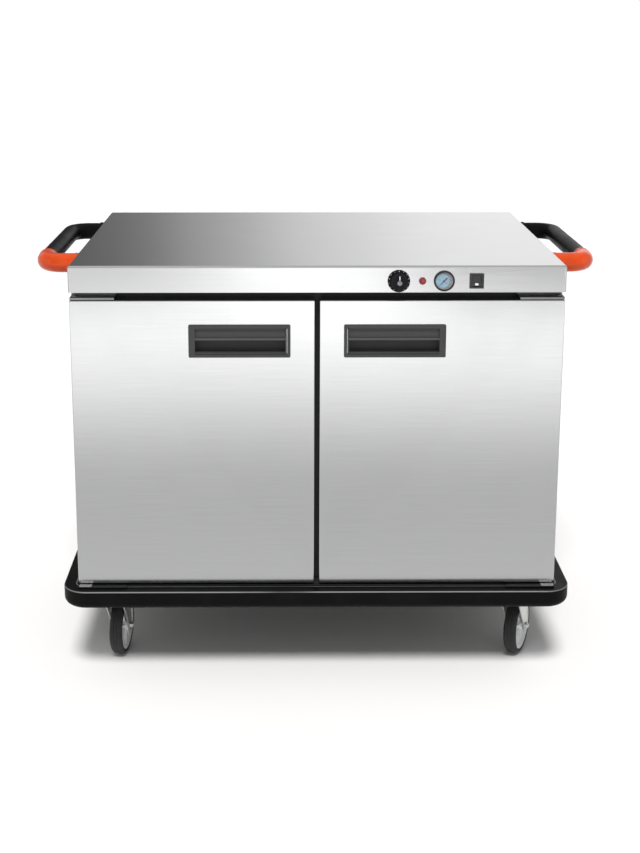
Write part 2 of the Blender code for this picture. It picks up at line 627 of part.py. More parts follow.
def build_caster(name, side_x, side_y, swivel):
    x, y = side_x * CASTER_X, side_y * CASTER_Y
    plate = box(f"caster_plate_{name}", (x - 0.050, y - 0.042, RAIL_LOW - GAP - 0.003),
                (x + 0.050, y + 0.042, RAIL_LOW - GAP), "zinc")
    join(plate, turned(f"king_pin_{name}", [(0, 0.1610), (0.024, 0.1610), (0.024, 0.1500),
                                            (0.0055, 0.1500), (0.0055, 0.1385), (0.010, 0.1385),
                                            (0.010, 0.1335), (0, 0.1335)],
                       location=(x, y, 0), steps=24))

    axis = empty(f"caster_axis_{name}", (x, y, 0), (0, 0, math.radians(swivel)))
    braked = side_y > 0
    fork = turned(f"caster_fork_{name}", [(0.0270, CROWN_HIGH), (0.0270, CROWN_LOW),
                                          (0.0063, CROWN_LOW), (0.0063, CROWN_HIGH)],
                  "zinc", ring=True, steps=24, parent=axis)
    bridge = box(f"bridge_{name}", (-LEG_OUTER, -0.0215, CROWN_LOW),
                 (LEG_OUTER, 0.0275, CROWN_LOW + 0.003), parent=axis)
    cut(bridge, rod(f"bridge_hole_{name}", (0, 0, 0.13), (0, 0, 0.16), 0.0070, parent=axis))
    join(fork, bridge)
    for side in (-1, 1):
        join(fork, outline_mesh(f"leg_{name}_{side}", leg_outline(braked), LEG_OUTER - LEG_INNER,
                                (side * (LEG_INNER + LEG_OUTER) / 2, 0, 0), UPRIGHT_SIDE, axis),
             rod(f"nut_{name}_{side}", (side * (LEG_OUTER - 0.001), TRAIL, WHEEL_RADIUS),
                 (side * (LEG_OUTER + 0.006), TRAIL, WHEEL_RADIUS), 0.0075, sides=6, parent=axis))
    join(fork, rod(f"axle_{name}", (-LEG_OUTER, TRAIL, WHEEL_RADIUS),
                   (LEG_OUTER, TRAIL, WHEEL_RADIUS), AXLE_RADIUS, sides=16, parent=axis))
    if braked:
        join(fork, rod(f"pedal_pin_{name}", (-LEG_OUTER, *PEDAL_PIVOT), (LEG_OUTER, *PEDAL_PIVOT),
                       0.0025, sides=12, parent=axis))
        build_pedal(name, axis)

    centre = (0, TRAIL, WHEEL_RADIUS)
    rim, dish = HUB_RADIUS - 0.0050, HUB_RADIUS - 0.0080
    turned(f"caster_hub_{name}", [(HUB_RADIUS, 0.0125), (HUB_RADIUS, -0.0125), (rim, -0.0125),
                                  (dish, -0.0060), (0.0150, -0.0060), (0.0120, -0.0160),
                                  (0.0043, -0.0160), (0.0043, 0.0160), (0.0120, 0.0160),
                                  (0.0150, 0.0060), (dish, 0.0060), (rim, 0.0125)],
           "hub_grey", centre, ACROSS, ring=True, steps=16, parent=axis)
    turned(f"caster_tyre_{name}", [(WHEEL_RADIUS, 0.0080), (WHEEL_RADIUS, -0.0080),
                                   (0.0590, -TYRE_HALF), (HUB_RADIUS + 0.0007, -TYRE_HALF),
                                   (HUB_RADIUS + 0.0007, TYRE_HALF), (0.0590, TYRE_HALF)],
           "tyre_rubber", centre, ACROSS, ring=True, steps=28, parent=axis)


def build_pedal(name, axis):
    """Brake pedal: a barrel round its pin, a tread plate behind and a shoe over the tyre."""
    back, up = PEDAL_PIVOT
    half = LEG_INNER - 0.0015
    pedal = turned(f"brake_pedal_{name}", [(0.0048, half), (0.0048, -half), (0.0029, -half),
                                           (0.0029, half)],
                   "pedal_black", (0, back, up), ACROSS, ring=True, steps=16, parent=axis)
    join(pedal, box(f"tread_{name}", (-half, back + 0.0040, up - 0.0015),
                    (half, back + 0.0480, up + 0.0030), parent=axis),
         box(f"shoe_{name}", (-half + 0.004, back + 0.0060, up - 0.0090),
             (half - 0.004, back + 0.0120, up), parent=axis))


build_chassis()
build_bumper()
build_skins()
build_face_frame()
build_cavity()
build_shelves()
build_heater()
build_worktop()
build_handles()
build_controls()
build_switch()
build_inlet()
for door_side, door_word in ((-1, "left"), (1, "right")):
    build_door(door_side, door_word)
    build_hinges(door_side, door_word)
for caster_name, (caster_x, caster_y, caster_swivel) in CASTERS.items():
    build_caster(caster_name, caster_x, caster_y, caster_swivel)
for part in PARTS.objects:
    if part.type == "MESH":
        part.data.shade_smooth()
        part.data.set_sharp_from_angle(angle=math.radians(35))
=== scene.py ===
"""Looks of the two-door food holding cabinet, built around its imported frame.

Metres; +X is the operator's right, +Y the back, +Z up. Places and outer sizes come from the CAD
nodes, and finer details are given in millimetres.
"""

import json
import math

import bmesh
import bpy
from mathutils import Euler, Matrix, Vector

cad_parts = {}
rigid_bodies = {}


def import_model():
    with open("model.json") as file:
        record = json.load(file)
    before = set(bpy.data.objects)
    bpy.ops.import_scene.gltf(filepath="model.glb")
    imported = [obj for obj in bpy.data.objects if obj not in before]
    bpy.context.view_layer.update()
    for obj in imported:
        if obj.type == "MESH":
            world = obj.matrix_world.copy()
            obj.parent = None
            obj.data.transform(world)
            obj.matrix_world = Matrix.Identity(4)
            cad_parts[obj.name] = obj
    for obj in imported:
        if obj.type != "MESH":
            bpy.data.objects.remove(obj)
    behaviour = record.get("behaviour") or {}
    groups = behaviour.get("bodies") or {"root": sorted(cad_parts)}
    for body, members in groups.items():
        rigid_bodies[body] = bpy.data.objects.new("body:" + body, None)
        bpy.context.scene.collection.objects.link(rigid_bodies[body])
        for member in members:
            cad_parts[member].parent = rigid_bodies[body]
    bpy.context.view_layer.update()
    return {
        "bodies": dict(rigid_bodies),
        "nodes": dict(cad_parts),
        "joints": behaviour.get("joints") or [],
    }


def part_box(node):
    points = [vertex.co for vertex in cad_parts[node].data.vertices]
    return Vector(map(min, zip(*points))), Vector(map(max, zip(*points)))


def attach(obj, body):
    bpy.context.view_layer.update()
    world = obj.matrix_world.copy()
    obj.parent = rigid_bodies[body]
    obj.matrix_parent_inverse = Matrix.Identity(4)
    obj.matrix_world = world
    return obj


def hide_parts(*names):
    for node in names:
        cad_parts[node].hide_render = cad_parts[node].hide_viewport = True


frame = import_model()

MM = 0.001
SHEET = 1.5 * MM
DOOR_SHEET = 1.2 * MM
SIDES = {"left": -1, "right": 1}
CASTERS = ("front_left", "front_right", "rear_left", "rear_right")
BODY = "cabinet"
ALONG = 0.9  # how squarely a face or edge has to point along an axis
FOLD_ANGLE = math.radians(15)
PAST = 10 * MM  # how far a cutter reaches past a sheet

# Camera, fitted to the photograph's view
CAMERA_PLACE = (-0.061, -2.998, 1.410)
CAMERA_PITCH, CAMERA_YAW = math.radians(11.77), math.radians(-0.36)
CAMERA_LENS = 57.07
CAMERA_SHIFT = (0.029, -0.170)
CAMERA_REACH = 200
FLOOR_REACH = 60.0

WORLD_LEVEL = 0.45
KEY_LEVEL = 2.9
KEY_SPREAD = math.radians(14)
KEY_DIRECTION = (0.03, 0.54, -0.84)


# ---------------------------------------------------------------- materials


class Recipe:
    """A node material under construction: constants on the shader, patterns linked to it."""

    def __init__(self, name, constants):
        self.material = bpy.data.materials.new(name)
        self.material.use_nodes = True
        self.tree = self.material.node_tree
        self.shader = self.tree.nodes["Principled BSDF"]
        self.feed(self.shader, constants)
        self.place = self.node("TexCoord").outputs["Object"]

    def feed(self, node, entries):
        """Fills a node's inputs, each with a constant or another node's output."""
        for name, value in entries.items():
            if isinstance(value, bpy.types.NodeSocket):
                self.tree.links.new(value, node.inputs[name])
            else:
                node.inputs[name].default_value = value

    def node(self, kind, entries=None, **settings):
        made = self.tree.nodes.new(f"ShaderNode{kind}")
        for key, value in settings.items():
            setattr(made, key, value)
        self.feed(made, entries or {})
        return made

    def noise(self, scale, detail=4.0, stretch=(1.0, 1.0, 1.0)):
        placed = self.node("Mapping", {"Vector": self.place, "Scale": stretch})
        return self.node("TexNoise", {"Vector": placed.outputs["Vector"], "Scale": scale,
                                                "Detail": detail}).outputs[0]

    def cells(self, scale):
        """The distance to the middle of the nearest cell."""
        cells = self.node("TexVoronoi", {"Vector": self.place, "Scale": scale})
        return cells.outputs["Distance"]

    def remap(self, value, low=0.0, high=1.0, start=0.3, end=0.7):
        return self.node("MapRange", {"Value": value, "From Min": start, "From Max": end,
                                                "To Min": low, "To Max": high}).outputs["Result"]

    def edges(self, start, end):
        """How far a point is on a convex edge, 0 to 1."""
        return self.remap(self.node("NewGeometry").outputs["Pointiness"], 0.0, 1.0, start, end)

    def along(self, axis):
        return self.node("SeparateXYZ", {"Vector": self.place}).outputs[axis]

    def band(self, low, high, fade):
        """1 between two heights, fading to 0 outside them."""
        rising = self.remap(self.along("Z"), 0.0, 1.0, low - fade, low)
        return self.product(rising, self.remap(self.along("Z"), 1.0, 0.0, high, high + fade))

    def product(self, first, second):
        return self.node("Math", {0: first, 1: second}, operation="MULTIPLY").outputs[0]

    def mix(self, factor, first, second):
        """Between two colours, each a constant or a node's output."""
        first, second = ((*tone, 1.0) if isinstance(tone, tuple) else tone for tone in (first, second))
        return self.node("Mix", {0: factor, 6: first, 7: second}, data_type="RGBA").outputs[2]

    def finished(self, colour, roughness, *layers):
        """The material; a layer is (height pattern, depth in metres), the broadest first."""
        normal = {}
        for height, depth in layers:
            bump = self.node("Bump", {"Height": height, "Distance": depth, **normal})
            normal = {"Normal": bump.outputs["Normal"]}
        self.feed(self.shader, {"Base Color": colour, "Roughness": roughness, **normal})
        return self.material


def shade(tone, factor):
    return tuple(channel * factor for channel in tone)


def brushed_steel(name, tone, roughness, grain_axis, streaks=0.02, wear_and_painted_light=1.15):
    """Sheet steel: fine grain and streaks along one axis, faint clouding, waviness; folds and edges are
    lightened as wear when the fold factor is above 1, and darkened as painted shade when it is below 1.
    """
    fine, coarse = [900.0] * 3, [210.0] * 3
    fine[grain_axis], coarse[grain_axis] = 7.0, 1.1
    recipe = Recipe(name, {"Metallic": 1.0})
    grain = recipe.noise(1.0, 3.0, tuple(fine))
    streak = recipe.remap(recipe.noise(1.0, 2.0, tuple(coarse)))
    cloud = recipe.noise(3.1, 5.0)
    smear = recipe.noise(14.0, 6.0)
    dark, bright = (recipe.mix(streak, shade(tone, level - streaks), shade(tone, level + streaks))
                    for level in (0.96, 1.03))
    body = recipe.mix(recipe.remap(grain), dark, bright)
    clouded = recipe.mix(recipe.remap(cloud, 0.0, 0.30), body, shade(tone, 0.95))
    # Folds and edges: paler as wear above 1, darker as painted shade below 1 (the worktop).
    return recipe.finished(recipe.mix(recipe.edges(0.52, 0.62), clouded, shade(tone, wear_and_painted_light)),
                           recipe.remap(smear, roughness - 0.012, roughness + 0.018, 0.2, 0.8),
                           (recipe.noise(2.3, 1.0), 0.9 * MM), (grain, 0.006 * MM))


def plated_metal(name, tone, roughness):
    """Zinc plating: small spangles, a few dull patches, brighter worn edges."""
    recipe = Recipe(name, {"Metallic": 1.0})
    spangle = recipe.cells(420.0)
    patch = recipe.noise(38.0, 5.0)
    body = recipe.mix(recipe.remap(spangle, 0.0, 1.0, 0.0, 0.9), shade(tone, 1.05), shade(tone, 0.86))
    dull = recipe.mix(recipe.remap(patch, 0.0, 0.6, 0.5, 0.8), body, shade(tone, 0.72))
    return recipe.finished(recipe.mix(recipe.edges(0.52, 0.60), dull, shade(tone, 1.25)),
                           recipe.remap(patch, roughness - 0.06, roughness + 0.10),
                           (patch, 0.05 * MM), (spangle, 0.02 * MM))


def moulded_plastic(name, tone, roughness, worn_tone, specular=0.35, texture=1400.0):
    """Moulded plastic: a fine spark-eroded texture, faint mottling and worn edges."""
    recipe = Recipe(name, {"Specular IOR Level": specular})
    mottle = recipe.noise(24.0, 5.0)
    body = recipe.mix(recipe.remap(mottle), shade(tone, 0.86), shade(tone, 1.12))
    return recipe.finished(recipe.mix(recipe.edges(0.53, 0.66), body, worn_tone),
                           recipe.remap(mottle, roughness - 0.04, roughness + 0.07),
                           (mottle, 0.04 * MM), (recipe.noise(texture, 2.0), 0.03 * MM))


def dusty_rubber(name, tone, roughness, specular, highlight_band=None):
    """Rubber with a matt skin, a little pale dust, and scuffed edges worn paler; given a height band, a
    painted highlight line runs along it instead of the worn edges.
    """
    recipe = Recipe(name, {"Specular IOR Level": specular})
    dust = recipe.noise(17.0, 7.0)
    scuff = recipe.noise(1.0, 4.0, (22.0, 22.0, 260.0))
    body = recipe.mix(recipe.remap(dust, 0.0, 0.5, 0.50, 0.78), tone, shade(tone, 2.4))
    scuffed = recipe.mix(recipe.remap(scuff, 0.0, 0.35, 0.58, 0.75), body, shade(tone, 3.0))
    # Painted highlight: a thin pale line, broken by noise, along the band's height.
    if highlight_band:
        broken = recipe.remap(recipe.noise(3.6, 3.0), 0.15, 1.0, 0.40, 0.55)
        wear_and_painted_light, wear_and_highlight_tone = recipe.product(recipe.band(*highlight_band), broken), HIGHLIGHT_LINE_TONE
    else:
        wear_and_painted_light, wear_and_highlight_tone = recipe.edges(0.53, 0.64), shade(tone, 2.2)
    return recipe.finished(recipe.mix(wear_and_painted_light, scuffed, wear_and_highlight_tone),
                           recipe.remap(dust, roughness - 0.05, roughness + 0.12),
                           (scuff, 0.03 * MM), (recipe.noise(700.0, 3.0), 0.04 * MM))


def mineral_wool(name):
    recipe = Recipe(name, {"Specular IOR Level": 0.1})
    fibre = recipe.noise(1.0, 6.0, (180.0, 40.0, 420.0))
    tuft = recipe.noise(30.0, 4.0)
    return recipe.finished(recipe.mix(recipe.remap(fibre), (0.55, 0.47, 0.24), (0.78, 0.72, 0.46)),
                           recipe.remap(tuft, 0.88, 0.98), (tuft, 3.0 * MM), (fibre, 0.6 * MM))


def sheathed_element(name):
    """A heated tube: dark oxide with bands of straw and blue temper colour."""
    recipe = Recipe(name, {"Metallic": 1.0})
    oxide = recipe.noise(220.0, 4.0)
    temper = recipe.mix(recipe.remap(recipe.noise(9.0, 3.0)), (0.24, 0.17, 0.10), (0.13, 0.14, 0.19))
    return recipe.finished(recipe.mix(recipe.remap(oxide, 0.0, 0.6), temper, (0.10, 0.09, 0.085)),
                           recipe.remap(oxide, 0.38, 0.60), (oxide, 0.05 * MM))


def painted_steel(name, tone):
    """Powder coat: orange peel, a few chips worn to the primer on its edges."""
    recipe = Recipe(name, {"Specular IOR Level": 0.3})
    peel = recipe.noise(260.0, 3.0)
    body = recipe.mix(recipe.remap(recipe.noise(60.0, 8.0), 0.0, 0.5), tone, shade(tone, 1.5))
    return recipe.finished(recipe.mix(recipe.edges(0.54, 0.66), body, shade(tone, 3.5)),
                           recipe.remap(peel, 0.42, 0.56), (peel, 0.08 * MM))


def filmed(name, constants, pattern, tones, dullness, depth):
    """One pattern that varies the tone, the roughness and the surface together."""
    recipe = Recipe(name, constants)
    film = recipe.noise(*pattern)
    return recipe.finished(recipe.mix(recipe.remap(film), *tones), recipe.remap(film, *dullness),
                           (film, depth))


def printed(name, tone):
    """Enamel or print, with a slightly uneven film."""
    return filmed(name, {"Specular IOR Level": 0.4}, (420.0, 4.0), (shade(tone, 0.94), shade(tone, 1.04)),
                  (0.40, 0.53), 0.01 * MM)


STEEL = (0.478, 0.482, 0.480)
# Tone of the painted highlight line along the bumper's top front edge.
HIGHLIGHT_LINE_TONE = (0.21, 0.21, 0.205)
BUMPER_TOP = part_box("bumper_ring")[1].z
FINISHES = {
    "door_steel": (brushed_steel, STEEL, 0.17, 0, 0.007),
    # Painted shade: 0.9 darkens the worktop's folds and edges into a dark line along the front fold.
    "top_steel": (brushed_steel, STEEL, 0.19, 0, 0.02, 0.9),
    "side_steel": (brushed_steel, STEEL, 0.31, 1),
    "back_steel": (brushed_steel, STEEL, 0.31, 0),
    "liner_steel": (brushed_steel, (0.56, 0.56, 0.555), 0.36, 2),
    "zinc": (plated_metal, (0.52, 0.52, 0.515), 0.32),
    "wire": (plated_metal, (0.70, 0.70, 0.70), 0.22),
    # Painted shade: zinc darkened to mid grey, for the top pivot plates and the knob's cap.
    "hinge_zinc": (plated_metal, (0.20, 0.20, 0.205), 0.36),
    # Painted shadow: zinc darkened nearly to black, for the bottom pivot plates under the doors.
    "dark_zinc": (plated_metal, (0.045, 0.045, 0.048), 0.38),
    "black_plastic": (moulded_plastic, (0.010, 0.010, 0.011), 0.38, (0.035, 0.035, 0.037)),
    "knob_plastic": (moulded_plastic, (0.0055, 0.0055, 0.0075), 0.42, (0.020, 0.020, 0.023), 0.12),
    "pull_plastic": (moulded_plastic, (0.034, 0.034, 0.035), 0.52, (0.065, 0.065, 0.067), 0.28),
    "grip_plastic": (moulded_plastic, (0.0035, 0.0035, 0.004), 0.40, (0.010, 0.010, 0.0105), 0.05),
    "orange_plastic": (moulded_plastic, (0.59, 0.054, 0.0030), 0.22, (0.70, 0.078, 0.006), 0.27, 900.0),
    "hub_plastic": (moulded_plastic, (0.74, 0.75, 0.76), 0.42, (0.84, 0.85, 0.86)),
    # The bumper's band is a painted highlight line just under its top edge.
    "bumper_rubber": (dusty_rubber, (0.0030, 0.0030, 0.0032), 0.42, 0.06,
                      (BUMPER_TOP - 2.3 * MM, BUMPER_TOP - 0.7 * MM, 0.5 * MM)),
    "gasket_rubber": (dusty_rubber, (0.020, 0.020, 0.020), 0.62, 0.25),
    "tyre_rubber": (dusty_rubber, (0.016, 0.016, 0.016), 0.58, 0.30),
    "chassis_paint": (painted_steel, (0.012, 0.012, 0.012)),
    "pedal_paint": (painted_steel, (0.018, 0.018, 0.018)),
    "mineral_wool": (mineral_wool,),
    "sheathed_element": (sheathed_element,),
    "lamp_plastic": (filmed, {"Specular IOR Level": 0.6, "Coat Weight": 0.4,
                              "Emission Color": (0.55, 0.03, 0.05, 1.0), "Emission Strength": 0.10},
                     (300.0, 3.0), ((0.13, 0.008, 0.014), (0.24, 0.02, 0.03)), (0.16, 0.28), 0.02 * MM),
    "dial_blue": (printed, (0.17, 0.33, 0.43)),
    # Painted shade: the grey of the crescent on the dial's right.
    "dial_grey": (printed, (0.17, 0.17, 0.17)),
    "print_black": (printed, (0.012, 0.013, 0.016)),
    "print_white": (printed, (0.74, 0.74, 0.72)),
    "clear_lens": (filmed, {"Alpha": 0.06, "Specular IOR Level": 0.3, "IOR": 1.49},
                   (1.0, 4.0, (260.0, 260.0, 90.0)), ((0.72, 0.84, 0.92), (0.86, 0.93, 0.97)),
                   (0.03, 0.10), 0.01 * MM),
}
MATERIALS = {name: make(name, *values) for name, (make, *values) in FINISHES.items()}


# ---------------------------------------------------------------- mesh helpers


def mesh_of(shape, name="shape"):
    mesh = bpy.data.meshes.new(name)
    shape.to_mesh(mesh)
    shape.free()
    return mesh


def linked(name, data):
    """A new object in the scene."""
    obj = bpy.data.objects.new(name, data)
    bpy.context.scene.collection.objects.link(obj)
    return obj


def evaluated(source):
    """The shape of an object after its modifiers; the object is removed."""
    bpy.context.view_layer.update()
    graph = bpy.context.evaluated_depsgraph_get()
    mesh = bpy.data.meshes.new_from_object(source.evaluated_get(graph))
    shape = bmesh.new()
    shape.from_mesh(mesh)
    bpy.data.objects.remove(source)
    bpy.data.meshes.remove(mesh)
    return shape


def combined(*shapes):
    whole = bmesh.new()
    for shape in shapes:
        mesh = mesh_of(shape)
        whole.from_mesh(mesh)
        bpy.data.meshes.remove(mesh)
    return whole


def moved(shape, matrix):
    bmesh.ops.transform(shape, matrix=matrix, verts=shape.verts)
    if matrix.determinant() < 0:
        bmesh.ops.reverse_faces(shape, faces=shape.faces)
    return shape


def copies(shape, matrices):
    """The shape at each matrix, as one shape."""
    whole = combined(*[moved(shape.copy(), matrix) for matrix in matrices])
    shape.free()
    return whole


def baked(shape, kind, **settings):
    """The shape after one modifier."""
    source = linked("source", mesh_of(shape))
    modifier = source.modifiers.new(kind, kind)
    for key, value in settings.items():
        setattr(modifier, key, value)
    return evaluated(source)


def carved(shape, *cutters):
    cutter = linked("cutter", mesh_of(combined(*cutters)))
    made = baked(shape, "BOOLEAN", operation="DIFFERENCE", solver="EXACT", object=cutter)
    bpy.data.objects.remove(cutter)
    return made


def soften(shape, edges, offset, steps):
    bmesh.ops.bevel(shape, geom=edges, offset=offset, segments=steps, profile=0.5, affect="EDGES")


def soften_rims(shape, axis, offset):
    """Rounds the rims of a shape that is flat along one axis."""
    shape.normal_update()
    rims = [edge for edge in shape.edges
            if sum(abs(face.normal[axis]) > ALONG for face in edge.link_faces) == 1]
    soften(shape, rims, offset, 2)
    return shape


def block(low, high, radius=0.0, steps=3):
    """A box with every edge rounded."""
    low, high = Vector(low), Vector(high)
    shape = bmesh.new()
    size = Matrix.Diagonal((*(high - low), 1))
    bmesh.ops.create_cube(shape, size=1, matrix=Matrix.Translation((low + high) / 2) @ size)
    if radius:
        soften(shape, shape.edges[:], radius, steps)
    return shape


def plate(low, high, axis, corner, rim):
    """A flat plate: round corners about its thin axis, and slightly rounded rims."""
    shape = block(low, high)
    upright = [edge for edge in shape.edges
               if abs((edge.verts[0].co - edge.verts[1].co).normalized()[axis]) > ALONG]
    soften(shape, upright, corner, 6)
    return soften_rims(shape, axis, rim)


def open_box(low, high, missing):
    """A box without its missing sides, such as +X or -Z."""
    shape = block(low, high)
    shape.normal_update()
    gone = []
    for face in shape.faces:
        axis = max(range(3), key=lambda i: abs(face.normal[i]))
        if ("-" if face.normal[axis] < 0 else "+") + "XYZ"[axis] in missing:
            gone.append(face)
    bmesh.ops.delete(shape, geom=gone, context="FACES")
    return shape


def folded(shape, thickness, fold, steps):
    """Sheet metal: an open shape with round folds, thickened inwards."""
    shape.normal_update()
    folds = [edge for edge in shape.edges
             if len(edge.link_faces) == 2 and edge.calc_face_angle() > FOLD_ANGLE]
    soften(shape, folds, fold, steps)
    return baked(shape, "SOLIDIFY", thickness=thickness, offset=-1, use_even_offset=True)


def pan(low, high, missing, thickness, fold, steps=5):
    return folded(open_box(low, high, missing), thickness, fold, steps)


def bridged(shape, rows, closed):
    """Faces between neighbouring rows of vertices; a row may be a single point."""
    for first, second in zip(rows, rows[1:] + rows[:1] if closed else rows[1:]):
        count = max(len(first), len(second))
        for i in range(count):
            j = (i + 1) % count
            corners = list(dict.fromkeys([first[i % len(first)], first[j % len(first)],
                                          second[j % len(second)], second[i % len(second)]]))
            if len(corners) > 2:
                shape.faces.new(corners)
    bmesh.ops.recalc_face_normals(shape, faces=shape.faces)
    return shape


def lathe(profile, steps=48, ring=False, flutes=None):
    """A profile of (radius, height) round local Z; flutes is (rows, how many, how deep)."""
    fluted, count, depth = flutes or ((), 0, 0.0)
    shape = bmesh.new()
    rings = []
    for index, (radius, height) in enumerate(profile):
        row = []
        for i in range(steps if radius else 1):
            angle = math.tau * i / steps
            reach = radius
            if index in fluted:
                reach -= depth * (0.5 - 0.5 * math.cos(count * angle)) ** 2
            row.append(shape.verts.new((reach * math.cos(angle), reach * math.sin(angle), height)))
        rings.append(row)
    return bridged(shape, rings, ring)


def arc(centre, radius, start, end, steps):
    """Points on an arc, in degrees, as pairs."""
    for i in range(steps + 1):
        angle = math.radians(start + (end - start) * i / steps)
        yield centre[0] + radius * math.cos(angle), centre[1] + radius * math.sin(angle)


def rounded_loop(half_a, half_b, corner, steps=8):
    """An anticlockwise rectangle with round corners, as pairs."""
    points = []
    for quarter, (side_a, side_b) in enumerate(((1, 1), (-1, 1), (-1, -1), (1, -1))):
        centre = (side_a * (half_a - corner), side_b * (half_b - corner))
        points += arc(centre, corner, 90 * quarter, 90 * quarter + 90, steps)
    return points


def swept(path, profile, up, closed=True, scales=None):
    """A profile of (outwards, upwards) carried along a flat path."""
    up = Vector(up)
    path = [Vector(point) for point in path]
    last = len(path) - 1
    shape = bmesh.new()
    rows = []
    for i, point in enumerate(path):
        before = path[i - 1] if closed or i else point
        after = path[(i + 1) % len(path)] if closed or i < last else point
        out = (after - before).normalized().cross(up)
        size = scales[i] if scales else 1.0
        rows.append([shape.verts.new(point + (out * u + up * v) * size) for u, v in profile])
    if not closed:
        shape.faces.new(rows[0])
        shape.faces.new(rows[-1])
    return bridged(shape, rows, closed)


def mirrored(half):
    """Half an outline and its mirror image, as one outline."""
    return [*half, *[(x, -y) for x, y in reversed(half)]]


def circle(radius, sides):
    return list(arc((0, 0), radius, 0, 360 - 360 / sides, sides - 1))


def rod(start, end, radius, sides=16, chamfer=0.0):
    """A round bar with slightly chamfered ends."""
    start, end = Vector(start), Vector(end)
    length = (end - start).length
    shape = lathe([(0, 0), (radius - chamfer, 0), (radius, chamfer), (radius, length - chamfer),
                   (radius - chamfer, length), (0, length)], sides)
    turn = (end - start).to_track_quat("Z", "Y").to_matrix().to_4x4()
    return moved(shape, Matrix.Translation(start) @ turn)


def extruded(outline, thickness, edge):
    """A flat outline in local XY, centred on its thickness along Z, with rounded rims."""
    shape = bmesh.new()
    face = shape.faces.new([shape.verts.new((x, y, -thickness / 2)) for x, y in outline])
    grown = bmesh.ops.extrude_face_region(shape, geom=[face])["geom"]
    verts = [item for item in grown if isinstance(item, bmesh.types.BMVert)]
    bmesh.ops.translate(shape, verts=verts, vec=(0, 0, thickness))
    bmesh.ops.recalc_face_normals(shape, faces=shape.faces)
    return soften_rims(shape, 2, edge)


def lettering(text, size, depth):
    """Flat numerals in local XY, centred on the origin."""
    curve = bpy.data.curves.new("lettering", "FONT")
    curve.body = text
    curve.size = size
    curve.extrude = depth / 2
    curve.align_x, curve.align_y = "CENTER", "CENTER"
    curve.resolution_u = 3
    shape = evaluated(linked("lettering", curve))
    bmesh.ops.remove_doubles(shape, verts=shape.verts, dist=0.001 * MM)
    return shape


def piece(name, shape, material, body, replaces=(), angle=32):
    """A finished piece of the object, riding on a CAD body."""
    obj = linked(name, mesh_of(shape, name))
    obj.data.materials.append(MATERIALS[material])
    obj.data.shade_smooth()
    obj.data.set_sharp_from_angle(angle=math.radians(angle))
    obj.modifiers.new("even_normals", "WEIGHTED_NORMAL").keep_sharp = True
    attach(obj, body)
    if replaces:
        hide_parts(*replaces)


def mm(*points):
    """Points given in millimetres."""
    return [tuple(value * MM for value in point) for point in points]


def at(x, y, z):
    return Matrix.Translation((x, y, z))


def at_mm(x, y, z):
    return at(x * MM, y * MM, z * MM)


FRONT = Matrix.Rotation(math.pi / 2, 4, "X")  # local XY upright, +Z towards the operator
REAR = Matrix.Rotation(math.pi, 4, "Z") @ FRONT  # the same, facing the back
OUTWARD = Euler((math.pi / 2, 0, -math.pi / 2)).to_matrix().to_4x4()  # +X to the operator, +Y up
SIDEWAYS = Euler((math.pi / 2, 0, math.pi / 2)).to_matrix().to_4x4()  # +X back, +Y up
ACROSS = Matrix.Rotation(math.pi / 2, 4, "Y")  # +Z along X
DOWN = Matrix.Rotation(math.pi, 4, "X")


def middle(node):
    low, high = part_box(node)
    return (low + high) / 2


def joint_place(name):
    return next(Vector(joint["pos_m"]) for joint in frame["joints"] if joint["name"] == name)


# ---------------------------------------------------------------- fasteners


def pan_head_screw(radius):
    """A cross-recess pan head in local coordinates, standing on Z = 0."""
    height = 0.55 * radius
    rim = arc((0.45 * radius, 0), 0.55 * radius, 0, 80, 5)
    profile = [(0, -0.3 * radius), (radius, -0.3 * radius)]
    profile += [(x, z * height / (0.55 * radius)) for x, z in rim]
    head = lathe([*profile, (0, height * 1.04)], 24)
    arm, slot = 0.55 * radius, 0.11 * radius
    deep = 0.45 * height
    return carved(head, block((-arm, -slot, deep), (arm, slot, 2 * height)),
                  block((-slot, -arm, deep * 1.01), (slot, arm, 2.1 * height)))


def hex_nut(radius, height):
    """A hexagon with chamfered corners, standing on Z = 0."""
    corner = math.cos(math.radians(30))
    return lathe([(0, 0), (radius, 0), (radius, height * 0.82), (radius * corner, height),
                  (radius * 0.55, height), (radius * 0.50, height * 0.9), (0, height * 0.9)], 6)


# ---------------------------------------------------------------- body

HOLE_RADII = {"thermostat_knob": 5.5, "pilot_lamp": 5.8, "thermometer_case": 19.2}  # in mm


def window(centre, y, half_x, half_z):
    """The cutter for a rectangular hole through a sheet that faces along Y; its halves in mm."""
    return block((centre.x - half_x * MM, y - PAST, centre.z - half_z * MM),
                 (centre.x + half_x * MM, y + PAST, centre.z + half_z * MM))


def build_worktop():
    """Folded top whose skirts are hemmed inwards; the front skirt carries the controls."""
    low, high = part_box("worktop")
    top = pan(low, high, ("-Z",), SHEET, 5 * MM, 7)
    cutters = []
    for node, radius in HOLE_RADII.items():
        spot = middle(node)
        cutters.append(rod((spot.x, low.y - PAST, spot.z), (spot.x, low.y + PAST, spot.z),
                           radius * MM, 40))
    cutters.append(window(middle("switch_body"), low.y, 12.2, 13.4))
    cutters.append(window(middle("power_inlet"), high.y, 14.2, 10.4))
    top = carved(top, *cutters)
    hem, inset, mitre, edge = 9 * MM, 1.3 * MM, 6 * MM, 0.4 * MM
    hems = [block((low.x + mitre, side, low.z), (high.x - mitre, side + hem, low.z + SHEET), edge)
            for side in (low.y + inset, high.y - inset - hem)]
    hems += [block((side, low.y + mitre, low.z), (side + hem, high.y - mitre, low.z + SHEET), edge)
             for side in (low.x + inset, high.x - inset - hem)]
    piece("worktop_sheet", combined(top, *hems), "top_steel", BODY, ["worktop"])


